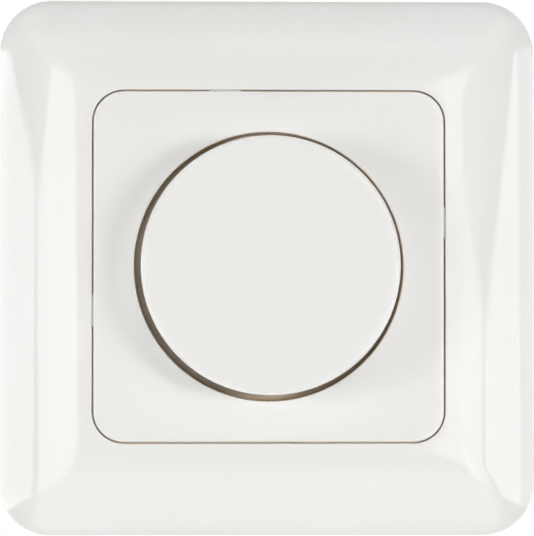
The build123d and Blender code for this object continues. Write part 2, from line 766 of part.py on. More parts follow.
def make_triac():
    """Power switch lying on the heat sink: tab, moulded body and three bent legs."""
    half = triac_width / 2
    face = -heat_sink_thickness
    tab_end = triac_x + triac_tab_length
    body_end = tab_end + triac_body_length
    tab = block(triac_x, tab_end, triac_y - half, triac_y + half, face - triac_tab_height, face)
    tab -= disc(screw_hole_radius, face - triac_tab_height, face, triac_x + triac_hole_inset, triac_y)
    body = block(tab_end, body_end, triac_y - half, triac_y + half, face - triac_body_height, face)
    body = chamfer(body.edges().group_by(Axis.Z)[0], triac_lead_thickness)
    shape = tab + body
    level = face - triac_body_height / 2
    for i in (-1, 0, 1):
        y = triac_y + i * triac_lead_pitch
        low = y - triac_lead_width / 2
        high = y + triac_lead_width / 2
        elbow = body_end + triac_lead_run
        shape += block(body_end, elbow, low, high, level - triac_lead_thickness, level)
        shape += block(elbow - triac_lead_thickness, elbow, low, high, -board_front, level)
    return shape


def make_triac_screw():
    """Screw from the tab into the heat sink."""
    seat = -heat_sink_thickness - triac_tab_height
    x = triac_x + triac_hole_inset
    head = disc(screw_head_radius, seat - triac_screw_head_height, seat, x, triac_y)
    head -= block(x - screw_head_radius, x + screw_head_radius, triac_y - screw_slot_width / 2,
                  triac_y + screw_slot_width / 2, seat - triac_screw_head_height, seat - screw_slot_depth)
    return head + disc(screw_radius, seat, -running_fit, x, triac_y)


def make_choke_core():
    """Ring core of the interference choke."""
    half = choke_height / 2
    band = ring(choke_outer_radius, choke_inner_radius, -half, half)
    return Pos(choke_x, choke_y, -choke_level) * band


def make_choke_winding():
    """Turns of flat-faced wire round the ring core."""
    play = running_fit
    inner_x0 = choke_inner_radius - play
    inner_x1 = choke_outer_radius + play
    inner_z = choke_height / 2 + play
    half = choke_wire / 2
    turn = block(inner_x0 - choke_wire, inner_x1 + choke_wire, -half, half,
                 -inner_z - choke_wire, inner_z + choke_wire)
    turn -= block(inner_x0, inner_x1, -half, half, -inner_z, inner_z)
    place = Pos(choke_x, choke_y, -choke_level)
    return Compound([place * Rot(0, 0, 360 / choke_turns * i) * turn for i in range(choke_turns)])


def make_box_capacitor(x, y, length, width, z0, z1):
    """Potted film capacitor with rounded edges."""
    body = block(x - length / 2, x + length / 2, y - width / 2, y + width / 2, z0, z1)
    return fillet(body.edges().filter_by(Axis.Z), capacitor_edge_round)


def make_fuse_tube():
    """Glass tube of the fuse."""
    end = fuse_length / 2 - fuse_cap_wall
    tube = rod_x(fuse_radius, fuse_y, -fuse_level, -end, end)
    return tube - rod_x(fuse_radius - 2 * fuse_cap_wall, fuse_y, -fuse_level, -end, end)


def make_fuse_caps():
    """Metal caps over both ends of the tube."""
    end = fuse_length / 2
    cap = rod_x(fuse_radius + fuse_cap_wall, fuse_y, -fuse_level, end - fuse_cap_length, end)
    cap -= rod_x(fuse_radius + close_fit, fuse_y, -fuse_level, end - fuse_cap_length, end - fuse_cap_wall)
    return Compound([cap, mirror(cap, about=Plane.YZ)])


def make_fuse_clips():
    """Two sprung forks on the board that hold the caps."""
    outer = fuse_radius + fuse_cap_wall + close_fit
    middle = fuse_length / 2 - fuse_cap_length / 2
    half = fuse_clip_width / 2
    width = outer + fuse_clip_wall
    clip = block(middle - half, middle + half, fuse_y - width, fuse_y + width,
                 -board_front, -fuse_level + outer / 2)
    clip -= rod_x(outer, fuse_y, -fuse_level, middle - half, middle + half)
    return Compound([clip, mirror(clip, about=Plane.YZ)])


def make_axial_part(x, y, radius, length):
    """Small round component lying on the board with a bent lead at each end."""
    level = -board_front + radius + running_fit
    reach = length / 2 + lead_reach
    body = rod_y(radius, x, level, y - length / 2, y + length / 2)
    body += rod_y(lead_radius, x, level, y - reach, y + reach)
    for end in (-1, 1):
        body += disc(lead_radius, -board_front, level + lead_radius, x, y + end * reach)
    return body


def both_sides(name, shape):
    """Right-hand piece and its mirror image, named by side."""
    return {name + "_right": shape, name + "_left": mirror(shape, about=Plane.YZ)}


def make_pieces():
    """All pieces by name, in the modelling frame."""
    pieces = {
        "cover_frame": make_cover_frame(),
        "centre_plate": make_centre_plate(),
        "knob": make_knob(),
        "knob_clip": make_knob_clip(),
        "lock_washer": make_lock_washer(),
        "fixing_nut": make_fixing_nut(),
        "support_plate": make_support_plate(),
        "housing": make_housing(),
        "plate_screws": make_plate_screws(),
        "terminal_block": make_terminal_block(),
        "circuit_board": make_circuit_board(),
        "heat_sink": make_heat_sink(),
        "pot_bushing": make_pot_bushing(),
        "pot_body": make_pot_body(),
        "resistive_track": make_resistive_track(),
        "wiper_carrier": make_wiper_carrier(),
        "wiper_contact": make_wiper_contact(),
        "control_shaft": make_control_shaft(),
        "switch_body": make_switch_body(),
        "switch_plunger": make_switch_plunger(),
        "switch_spring": make_switch_spring(),
        "triac": make_triac(),
        "triac_screw": make_triac_screw(),
        "choke_core": make_choke_core(),
        "choke_winding": make_choke_winding(),
        "suppression_capacitor": make_box_capacitor(suppressor_x, suppressor_y, suppressor_length,
                                                    suppressor_width, -board_back - suppressor_height,
                                                    -board_back),
        "timing_capacitor": make_box_capacitor(timing_x, timing_y, timing_width, timing_length,
                                               -board_front, -board_front + timing_height),
        "fuse_tube": make_fuse_tube(),
        "fuse_caps": make_fuse_caps(),
        "fuse_clips": make_fuse_clips(),
        "resistors": Compound([make_axial_part(x, y, resistor_radius, resistor_length)
                               for x, y in resistor_positions]),
        "diac": make_axial_part(*diac_position, diac_radius, diac_length),
    }
    pieces.update(both_sides("claw", make_claw()))
    pieces.update(both_sides("claw_pin", make_claw_pin()))
    pieces.update(both_sides("claw_screw", make_claw_screw()))
    pieces.update(both_sides("claw_nut", make_claw_nut()))
    for number, x in enumerate(terminal_columns, start=1):
        pieces[f"terminal_cage_{number}"] = make_terminal_cage(x)
        pieces[f"terminal_screw_{number}"] = make_terminal_screw(x)
        pieces[f"terminal_bar_{number}"] = make_terminal_bar(x)
    return pieces


os.makedirs("parts", exist_ok=True)
for name, shape in make_pieces().items():
    export_step(Rot(90, 0, 0) * shape, f"parts/{name}.step")
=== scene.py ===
import json
import logging
import math
from dataclasses import dataclass, field
from enum import Enum
from typing import Callable, Iterable, Optional, Sequence, Union

import bmesh
import bpy
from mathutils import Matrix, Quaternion, Vector

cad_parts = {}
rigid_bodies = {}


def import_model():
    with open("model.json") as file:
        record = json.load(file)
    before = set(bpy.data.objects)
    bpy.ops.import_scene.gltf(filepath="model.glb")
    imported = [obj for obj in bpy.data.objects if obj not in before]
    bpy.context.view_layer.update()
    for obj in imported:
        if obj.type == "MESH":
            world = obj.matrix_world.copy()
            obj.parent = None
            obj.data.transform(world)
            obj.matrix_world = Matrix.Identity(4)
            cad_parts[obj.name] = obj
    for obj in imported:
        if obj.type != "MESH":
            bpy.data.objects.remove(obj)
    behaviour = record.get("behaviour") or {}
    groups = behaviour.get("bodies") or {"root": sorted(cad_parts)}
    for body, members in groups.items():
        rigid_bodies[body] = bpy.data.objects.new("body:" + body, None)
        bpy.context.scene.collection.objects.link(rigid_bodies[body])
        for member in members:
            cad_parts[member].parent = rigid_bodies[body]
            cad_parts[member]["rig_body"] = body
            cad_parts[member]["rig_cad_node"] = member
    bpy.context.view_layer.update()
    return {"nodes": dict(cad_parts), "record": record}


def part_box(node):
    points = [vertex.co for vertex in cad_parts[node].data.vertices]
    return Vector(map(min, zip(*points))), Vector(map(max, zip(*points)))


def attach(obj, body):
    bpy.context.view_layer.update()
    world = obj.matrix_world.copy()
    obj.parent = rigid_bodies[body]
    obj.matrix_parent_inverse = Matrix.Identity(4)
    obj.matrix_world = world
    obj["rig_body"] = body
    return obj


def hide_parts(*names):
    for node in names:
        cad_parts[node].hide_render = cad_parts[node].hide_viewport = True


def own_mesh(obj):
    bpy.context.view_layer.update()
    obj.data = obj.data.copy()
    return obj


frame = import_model()

MM = 0.001  # metres in a millimetre
SAME_PLACE = 0.002  # mm within which two places count as one
SAME_SHARE = 1e-9  # how far a scale may be from 1 and change nothing
MERGE_GAP = 1e-6  # metres within which vertices merge
EDGE_STEPS = 2  # faces across a broken edge
FLAT_ANGLE = 1.0  # degrees up to which triangles of a solid become one face
BREAK_ANGLE = 40.0  # degrees from which an edge of a solid is broken
FACE_WEIGHT = 100  # how strongly the large faces rule the shading of a solid
SMOOTH_ANGLE = 32.0  # degrees from which an edge stays sharp in the shading
QUARTER = 90.0  # degrees in a quarter turn
SQUARE_SIDES = 4
Colour = tuple[float, float, float]
Extent = tuple[float, float]
log = logging.getLogger("dimmer")


class Slot(Enum):
    """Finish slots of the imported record."""

    WHITE_FRAME = "white_frame"
    WHITE_PLATE = "white_plate"
    WHITE_KNOB = "white_knob"
    SPRING_STEEL = "spring_steel"
    ZINC_HARDWARE = "zinc_hardware"
    NICKEL_HARDWARE = "nickel_hardware"
    ZINC_SHEET = "zinc_sheet"
    HOUSING_MOULDING = "housing_moulding"
    TERMINAL_MOULDING = "terminal_moulding"
    BOARD_LAMINATE = "board_laminate"
    MILL_ALUMINIUM = "mill_aluminium"
    COMPONENT_MOULDING = "component_moulding"
    CARBON_TRACK = "carbon_track"
    CARRIER_MOULDING = "carrier_moulding"
    CONTACT_BRONZE = "contact_bronze"
    CORE_IRON = "core_iron"
    WINDING_COPPER = "winding_copper"
    CAPACITOR_MOULDING = "capacitor_moulding"
    FUSE_GLASS = "fuse_glass"
    RESISTOR_COAT = "resistor_coat"


class Side(Enum):
    """The two sides of the insert, as seen from the front."""

    LEFT = -1
    RIGHT = 1


def point(across: float, up: float, out: float) -> Vector:
    """Turns millimetres to the right, up and out of the wall into a place in the frame.

    Args:
        across: Distance to the right of the knob's axis.
        up: Distance above the knob's axis.
        out: Height off the wall, towards the viewer.

    Returns:
        The place in metres.
    """
    return Vector((across * MM, -out * MM, up * MM))


def deselect_all() -> None:
    """Leaves edit mode and clears the selection."""
    if bpy.context.object and bpy.context.object.mode != "OBJECT":
        bpy.ops.object.mode_set(mode="OBJECT")
    bpy.ops.object.select_all(action="DESELECT")


def make_active(piece: bpy.types.Object) -> None:
    """Selects one piece alone.

    Args:
        piece: The piece that the next operators act on.
    """
    deselect_all()
    piece.select_set(True)
    bpy.context.view_layer.objects.active = piece


def settle(piece: bpy.types.Object) -> None:
    """Moves a piece's place, turn and scale into its mesh.

    Args:
        piece: A piece that was just added.
    """
    make_active(piece)
    bpy.ops.object.transform_apply(location=True, rotation=True, scale=True)


def join_into(main: bpy.types.Object, extras: Sequence[bpy.types.Object]) -> None:
    """Joins small mouldings to the piece that they grow from.

    Args:
        main: The piece that stays.
        extras: The pieces that become part of it.
    """
    make_active(main)
    for extra in extras:
        extra.select_set(True)
    bpy.context.view_layer.objects.active = main
    bpy.ops.object.join()


def apply_modifier(piece: bpy.types.Object, kind: str, **settings: object) -> None:
    """Adds a modifier to a piece and applies it.

    Args:
        piece: The piece that is shaped.
        kind: Type of the modifier.
        settings: Values of the modifier by name.
    """
    make_active(piece)
    modifier = piece.modifiers.new(kind.lower(), kind)
    for name, value in settings.items():
        setattr(modifier, name, value)
    bpy.ops.object.modifier_apply(modifier=modifier.name)


class Editing:
    """Edit mode on one piece, used as a with block."""

    def __init__(self, piece: bpy.types.Object) -> None:
        """Keeps the piece that is edited."""
        self.piece = piece

    def __enter__(self) -> "Editing":
        """Opens edit mode with everything deselected.

        Returns:
            The open edit mode.
        """
        make_active(self.piece)
        bpy.ops.object.mode_set(mode="EDIT")
        bpy.ops.mesh.select_mode(type="VERT")
        bpy.ops.mesh.select_all(action="DESELECT")
        return self

    def __exit__(self, *problem: object) -> None:
        """Goes back to object mode."""
        bpy.ops.object.mode_set(mode="OBJECT")

    def select(self, test: Callable[[bmesh.types.BMVert], bool]) -> int:
        """Selects the vertices that pass a test.

        Args:
            test: Says of a vertex whether it is wanted.

        Returns:
            How many were selected.
        """
        bpy.ops.mesh.select_all(action="DESELECT")
        mesh = bmesh.from_edit_mesh(self.piece.data)
        wanted = [vertex for vertex in mesh.verts if test(vertex)]
        for vertex in wanted:
            vertex.select_set(True)
        mesh.select_flush_mode()
        bmesh.update_edit_mesh(self.piece.data)
        return len(wanted)

    def chosen(self) -> list[int]:
        """Returns the indices of the selected vertices."""
        mesh = bmesh.from_edit_mesh(self.piece.data)
        return [vertex.index for vertex in mesh.verts if vertex.select]

    def tidy(self) -> None:
        """Merges doubles and turns all faces outwards."""
        bpy.ops.mesh.select_all(action="SELECT")
        bpy.ops.mesh.remove_doubles(threshold=MERGE_GAP)
        bpy.ops.mesh.normals_make_consistent(inside=False)


def smooth(piece: bpy.types.Object) -> None:
    """Shades a piece smooth between its sharp edges.

    Args:
        piece: The piece that is shaded.
    """
    make_active(piece)
    bpy.ops.object.shade_smooth_by_angle(angle=math.radians(SMOOTH_ANGLE))


@dataclass(frozen=True)
class Ring:
    """One station of a moulded shell, in mm. A ring without a corner radius is round.

    Attributes:
        width: Full width, or the diameter of a round ring.
        level: Height off the wall.
        corner: Corner radius of a square ring.
    """

    width: float
    level: float
    corner: Optional[float] = None


class RingShell:
    """A shell that is drawn ring by ring: its open edge is extruded, lifted and sized."""

    def __init__(self, name: str, first: Ring, segments: int) -> None:
        """Adds the first ring.

        Args:
            name: Name of the piece.
            first: The ring that the shell starts from.
            segments: Steps round the whole ring, or round one corner of a square.
        """
        self.ring = first
        deselect_all()
        place = point(0, 0, first.level)
        facing = (math.radians(QUARTER), 0, 0)
        if first.corner is None:
            bpy.ops.mesh.primitive_circle_add(
                vertices=segments, radius=first.width / 2 * MM, location=place, rotation=facing)
        else:
            bpy.ops.mesh.primitive_plane_add(size=first.width * MM, location=place, rotation=facing)
        self.piece = bpy.context.object
        self.piece.name = name
        self.piece.data.name = name
        settle(self.piece)
        if first.corner is not None:
            with Editing(self.piece):
                bpy.ops.mesh.select_all(action="SELECT")
                bpy.ops.mesh.bevel(affect="VERTICES", offset=first.corner * MM, segments=segments)
                bpy.ops.mesh.select_all(action="SELECT")
                bpy.ops.mesh.delete(type="ONLY_FACE")

    def draw(self, rings: Iterable[Ring], start: Optional[Ring] = None) -> None:
        """Extrudes the open edge through a run of rings.

        Args:
            rings: The stations in order.
            start: The open edge to go on from, if it isn't the last ring.
        """
        with Editing(self.piece) as editing:
            self.ring = start or self.ring
            self.pick_edge(editing, self.ring)
            for ring in rings:
                self.step(editing, ring)

    def pick_edge(self, editing: Editing, ring: Ring) -> None:
        """Selects the open edge at a ring.

        Args:
            editing: Edit mode on the shell.
            ring: The ring that is looked for.
        """
        reach = ring.width / 2 * MM
        tolerance = SAME_PLACE * MM
        corner = (ring.corner or 0.0) * MM
        inside = reach - corner * (1 - math.sqrt(0.5)) if ring.corner else reach

        def on_ring(vertex: bmesh.types.BMVert) -> bool:
            """Says whether a vertex lies on the open ring.

            Args:
                vertex: A vertex of the shell.

            Returns:
                True if it lies there.
            """
            if abs(vertex.co.y + ring.level * MM) > tolerance:
                return False
            if not (vertex.is_boundary or vertex.is_wire):
                return False
            if ring.corner is None:
                return abs(math.hypot(vertex.co.x, vertex.co.z) - reach) < tolerance
            extent = max(abs(vertex.co.x), abs(vertex.co.z))
            return inside - tolerance < extent < reach + tolerance

        editing.select(on_ring)

    def step(self, editing: Editing, ring: Ring) -> None:
        """Extrudes the selected edge to the next ring.

        Args:
            editing: Edit mode on the shell.
            ring: Where the new edge lies.
        """
        lift = point(0, 0, ring.level - self.ring.level)
        bpy.ops.mesh.extrude_edges_move(TRANSFORM_OT_translate={"value": lift})
        grow = ring.width / self.ring.width
        if grow != 1.0:
            bpy.ops.transform.resize(value=(grow, 1, grow), center_override=(0, 0, 0))
        if ring.corner is not None:
            self.reshape_corners(editing, ring, ring.corner / (self.ring.corner * grow))
        self.ring = ring

    def reshape_corners(self, editing: Editing, ring: Ring, share: float) -> None:
        """Scales the four corner curves of the selected edge towards their corner points.

        Args:
            editing: Edit mode on the shell.
            ring: The ring that the edge lies on.
            share: New corner radius over the old one.
        """
        if abs(share - 1.0) < SAME_SHARE:
            return
        whole = set(editing.chosen())
        half = ring.width / 2
        for right in (-1, 1):
            for up in (-1, 1):
                editing.select(lambda v: v.index in whole and v.co.x * right > 0 and v.co.z * up > 0)
                corner = point(right * half, up * half, ring.level)
                bpy.ops.transform.resize(value=(share, 1, share), center_override=corner)
        editing.select(lambda v: v.index in whole)

    def bridge(self, first: Ring, second: Ring) -> None:
        """Closes the shell between two open edges.

        Args:
            first: One open edge.
            second: The other open edge.
        """
        with Editing(self.piece) as editing:
            self.pick_edge(editing, first)
            picked = set(editing.chosen())
            self.pick_edge(editing, second)
            picked |= set(editing.chosen())
            editing.select(lambda v: v.index in picked)
            if first.level == second.level and (first.corner is None) != (second.corner is None):
                bpy.ops.mesh.fill(use_beauty=True)
            else:
                bpy.ops.mesh.bridge_edge_loops()

    def cap(self) -> None:
        """Closes the last ring with a flat face."""
        with Editing(self.piece) as editing:
            self.pick_edge(editing, self.ring)
            bpy.ops.mesh.edge_face_add()

    def close_up(self) -> bpy.types.Object:
        """Merges the seams, turns the faces outwards and shades the shell.

        Returns:
            The finished piece.
        """
        with Editing(self.piece) as editing:
            editing.tidy()
        smooth(self.piece)
        return self.piece


def rounding(start: Ring, end: Ring, steps: int) -> list[Ring]:
    """Quarter-round between two rings, leaving the first along the wall's height.

    Args:
        start: Ring where the rounding begins.
        end: Ring where it ends.
        steps: Number of rings that are made, with the end.

    Returns:
        The rings after the start.
    """
    rings = []
    for i in range(1, steps + 1):
        turn = math.pi / 2 * i / steps
        sink = 1 - math.cos(turn)
        rise = math.sin(turn)
        corner = None
        if start.corner is not None:
            corner = start.corner + (end.corner - start.corner) * sink
        rings.append(Ring(start.width + (end.width - start.width) * sink,
                          start.level + (end.level - start.level) * rise, corner))
    return rings


def add_bar(name: str, low: Vector, high: Vector, turn: float = 0.0,
            soften: float = 0.1) -> bpy.types.Object:
    """Small moulded bar: a block with softened edges, turned round the knob's axis.

    Args:
        name: Name of the piece.
        low: Lowest corner in mm, as across, up and out.
        high: Highest corner in mm.
        turn: Turn in degrees, anticlockwise from the front.
        soften: Edge radius in mm.

    Returns:
        The bar.
    """
    deselect_all()
    middle = (low + high) / 2
    extent = high - low
    angle = math.radians(turn)
    across = middle.x * math.cos(angle) - middle.y * math.sin(angle)
    up = middle.x * math.sin(angle) + middle.y * math.cos(angle)
    bpy.ops.mesh.primitive_cube_add(
        size=1, location=point(across, up, middle.z), rotation=(0, -angle, 0),
        scale=(extent.x * MM, extent.z * MM, extent.y * MM))
    bar = bpy.context.object
    bar.name = name
    settle(bar)
    with Editing(bar):
        bpy.ops.mesh.select_all(action="SELECT")
        bpy.ops.mesh.bevel(affect="EDGES", offset=soften * MM, segments=EDGE_STEPS)
    return bar


def copy_piece(piece: bpy.types.Object, name: str) -> bpy.types.Object:
    """Copies a piece, with a mesh of its own.

    Args:
        piece: The piece that is copied.
        name: Name of the copy and of its mesh.

    Returns:
        The copy.
    """
    make_active(piece)
    bpy.ops.object.duplicate(linked=False)
    copy = bpy.context.object
    copy.name = name
    copy.data.name = name
    return copy


def copy_round(first: bpy.types.Object, count: int, whole: int) -> list[bpy.types.Object]:
    """Copies a piece in even steps round the knob's axis, anticlockwise from the front.

    Args:
        first: The first piece.
        count: Number of pieces, with the first.
        whole: Number of steps in a whole turn.

    Returns:
        The first piece and its copies.
    """
    made = [first]
    for i in range(1, count):
        copy = copy_piece(first, f"{first.name}_{i}")
        copy.rotation_euler = (0, -2 * math.pi * i / whole, 0)
        settle(copy)
        made.append(copy)
    return made


def refine_solid(node: str, name: str, edge: float) -> bpy.types.Object:
    """Copy of a solid with its triangles merged into faces and its edges broken.

    Args:
        node: The solid that is copied.
        name: Name of the new piece.
        edge: Width of the broken edges in mm.

    Returns:
        The new piece.
    """
    piece = copy_piece(frame["nodes"][node], name)
    piece.parent = None
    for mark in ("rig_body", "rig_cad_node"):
        if mark in piece:
            del piece[mark]
    with Editing(piece) as editing:
        editing.tidy()
        bpy.ops.mesh.select_all(action="SELECT")
        bpy.ops.mesh.dissolve_limited(angle_limit=math.radians(FLAT_ANGLE))
    apply_modifier(piece, "BEVEL", width=edge * MM, segments=EDGE_STEPS, limit_method="ANGLE",
                   angle_limit=math.radians(BREAK_ANGLE), use_clamp_overlap=True)
    smooth(piece)
    apply_modifier(piece, "WEIGHTED_NORMAL", mode="FACE_AREA", weight=FACE_WEIGHT, keep_sharp=True)
    return piece


SocketValue = Union[float, Sequence[float], bpy.types.NodeSocket]
Inputs = dict[Union[str, int], SocketValue]
WHOLE: Extent = (0.0, 1.0)


class Graph:
    """Places and links the nodes of one material or node group."""

    def __init__(self, tree: bpy.types.NodeTree) -> None:
        """Keeps the tree that nodes are added to."""
        self.tree = tree

    def add(self, kind: str, inputs: Optional[Inputs] = None, **settings: object) -> bpy.types.Node:
        """Adds a node.

        Args:
            kind: Type of the node.
            inputs: Values or links of its inputs, by name or number.
            settings: Properties of the node by name.

        Returns:
            The node.
        """
        node = self.tree.nodes.new(kind)
        for name, value in settings.items():
            setattr(node, name, value)
        self.feed(node, inputs or {})
        return node

    def feed(self, node: bpy.types.Node, inputs: Inputs) -> None:
        """Sets or links inputs of a node.

        Args:
            node: The node.
            inputs: Values or links of its inputs, by name or number.
        """
        for key, value in inputs.items():
            socket = node.inputs[key]
            if isinstance(value, bpy.types.NodeSocket):
                self.tree.links.new(value, socket)
            else:
                socket.default_value = value

    def blend(self, share: SocketValue, first: SocketValue, second: SocketValue) -> bpy.types.NodeSocket:
        """Mixes two colours.

        Args:
            share: How much of the second colour shows.
            first: Colour at 0.
            second: Colour at 1.

        Returns:
            The mixed colour.
        """
        node = self.add("ShaderNodeMix", {0: share, 6: first, 7: second}, data_type="RGBA")
        return node.outputs[2]

    def calculate(self, operation: str, first: SocketValue,
                  second: SocketValue = 0.0) -> bpy.types.NodeSocket:
        """Adds a math node.

        Args:
            operation: Name of the operation.
            first: First value.
            second: Second value, if the operation has one.

        Returns:
            The result.
        """
        return self.add("ShaderNodeMath", {0: first, 1: second}, operation=operation).outputs[0]

    def spread(self, value: SocketValue, source: tuple[SocketValue, SocketValue],
               target: Extent) -> bpy.types.NodeSocket:
        """Maps a value smoothly from one range to another.

        Args:
            value: The value.
            source: Range that it comes from.
            target: Range that it is mapped to.

        Returns:
            The mapped value.
        """
        ends = {"From Min": source[0], "From Max": source[1], "To Min": target[0], "To Max": target[1]}
        node = self.add("ShaderNodeMapRange", {"Value": value, **ends}, interpolation_type="SMOOTHSTEP")
        return node.outputs[0]

    def noise(self, place: SocketValue, scale: SocketValue, detail: float,
              roughness: float = 0.5) -> bpy.types.NodeSocket:
        """Adds a noise texture.

        Args:
            place: Coordinates.
            scale: Features per metre.
            detail: Number of finer layers.
            roughness: Weight of the finer layers.

        Returns:
            The value of the noise.
        """
        return self.add("ShaderNodeTexNoise", {"Vector": place, "Scale": scale, "Detail": detail,
                                               "Roughness": roughness}).outputs[0]

    def relief(self, strength: float, depth: float, height: SocketValue) -> bpy.types.NodeSocket:
        """Returns the normal of a fine relief, with its depth in metres."""
        bump = self.add("ShaderNodeBump", {"Strength": strength, "Distance": depth, "Height": height})
        return bump.outputs[0]

    def shared(self, group: bpy.types.NodeTree, inputs: Inputs) -> bpy.types.bpy_prop_collection:
        """Adds a shared effect and returns its outputs."""
        return self.add("ShaderNodeGroup", inputs, node_tree=group).outputs


def solid(colour: Colour) -> tuple[float, float, float, float]:
    """Returns a colour with full alpha."""
    return (*colour, 1.0)


def around(middle: float, swing: Extent) -> Extent:
    """Returns the range that lies about a middle value."""
    return middle + swing[0], middle + swing[1]


def make_group(name: str, values: Sequence[str], outputs: Sequence[str],
               vectors: Sequence[str] = ("Vector",)) -> bpy.types.NodeTree:
    """Adds a shader node group with named sockets.

    Args:
        name: Name of the group.
        values: Names of the numbers that it takes.
        outputs: Names of the numbers that it puts out.
        vectors: Names of the vectors that it takes.

    Returns:
        The empty group.
    """
    group = bpy.data.node_groups.new(name, "ShaderNodeTree")
    sockets = [(label, "INPUT", "NodeSocketVector") for label in vectors]
    sockets += [(label, "INPUT", "NodeSocketFloat") for label in values]
    sockets += [(label, "OUTPUT", "NodeSocketFloat") for label in outputs]
    for label, way, kind in sockets:
        group.interface.new_socket(label, in_out=way, socket_type=kind)
    return group


class SharedEffects:
    """Node groups that more than one finish uses."""

    def __init__(self) -> None:
        """Builds each group once."""
        self.surface_grain = self.make_surface_grain()
        self.gap_shade = self.make_painted_gap_shade()
        self.plating_drift = self.make_plating_drift()

    def make_surface_grain(self) -> bpy.types.NodeTree:
        """Slow and fine variation of a moulded or painted skin.

        Returns:
            A group that puts out a slow mask, a fine mask and a height.
        """
        group = make_group("surface_grain", ("Slow Scale", "Fine Scale", "Fine Share"),
                           ("Slow", "Fine", "Height"))
        graph = Graph(group)
        start = graph.add("NodeGroupInput").outputs
        slow = graph.noise(start["Vector"], start["Slow Scale"], detail=3.0)
        fine = graph.noise(start["Vector"], start["Fine Scale"], detail=2.0, roughness=0.6)
        height = graph.add("ShaderNodeMix", {0: start["Fine Share"], 2: slow, 3: fine}, data_type="FLOAT")
        graph.add("NodeGroupOutput", {"Slow": slow, "Fine": fine, "Height": height.outputs[0]})
        return group

    def make_painted_gap_shade(self) -> bpy.types.NodeTree:
        """Mask of the faces that lie deep in the gaps of the front, where a painted shade is laid.

        Returns:
            A group whose mask is 1 below a level off the wall, in a square band or a round cup.
        """
        group = make_group("gap_shade", ("Level", "Fade", "Foot", "Reach", "Cup Foot", "Cup Radius"),
                           ("Mask",))
        graph = Graph(group)
        start = graph.add("NodeGroupInput").outputs
        place = graph.add("ShaderNodeSeparateXYZ", {0: start["Vector"]}).outputs
        out = graph.calculate("MULTIPLY", place["Y"], -1.0)
        floor = graph.calculate("SUBTRACT", start["Level"], start["Fade"])
        deep = graph.spread(out, (floor, start["Level"]), (1.0, 0.0))
        extent = graph.calculate("MAXIMUM", graph.calculate("ABSOLUTE", place["X"]),
                                 graph.calculate("ABSOLUTE", place["Z"]))
        band = graph.calculate("MULTIPLY", graph.calculate("LESS_THAN", extent, start["Reach"]),
                               graph.calculate("GREATER_THAN", out, start["Foot"]))
        flat = graph.add("ShaderNodeCombineXYZ", {"X": place["X"], "Z": place["Z"]}).outputs[0]
        away = graph.add("ShaderNodeVectorMath", {0: flat}, operation="LENGTH").outputs["Value"]
        cup = graph.calculate("MULTIPLY", graph.calculate("LESS_THAN", away, start["Cup Radius"]),
                              graph.calculate("GREATER_THAN", out, start["Cup Foot"]))
        mask = graph.calculate("MULTIPLY", deep, graph.calculate("MAXIMUM", band, cup))
        graph.add("NodeGroupOutput", {"Mask": mask})
        return group

    def make_plating_drift(self) -> bpy.types.NodeTree:
        """Cloudy tone and drawn streaks of plated or rolled metal.

        Returns:
            A group that puts out a cloud mask and a streak mask.
        """
        group = make_group("plating_drift", ("Cloud Scale", "Streak Scale"), ("Cloud", "Streak"),
                           ("Vector", "Stretch"))
        graph = Graph(group)
        start = graph.add("NodeGroupInput").outputs
        cloud = graph.noise(start["Vector"], start["Cloud Scale"], detail=4.0, roughness=0.55)
        drawn = graph.add("ShaderNodeVectorMath", {0: start["Vector"], 1: start["Stretch"]},
                          operation="MULTIPLY").outputs[0]
        streak = graph.noise(drawn, start["Streak Scale"], detail=3.0, roughness=0.7)
        graph.add("NodeGroupOutput", {"Cloud": cloud, "Streak": streak})
        return group


def start_material(name: str) -> tuple[bpy.types.Material, Graph, bpy.types.NodeSocket, bpy.types.Node]:
    """Adds a material with an empty Principled shader.

    Args:
        name: Name of the material.

    Returns:
        The material, its graph, the Object coordinates and the shader.
    """
    material = bpy.data.materials.new(name)
    material.use_nodes = True
    material.node_tree.nodes.clear()
    graph = Graph(material.node_tree)
    coords = graph.add("ShaderNodeTexCoord").outputs["Object"]
    shader = graph.add("ShaderNodeBsdfPrincipled")
    graph.add("ShaderNodeOutputMaterial", {"Surface": shader.outputs[0]})
    return material, graph, coords, shader


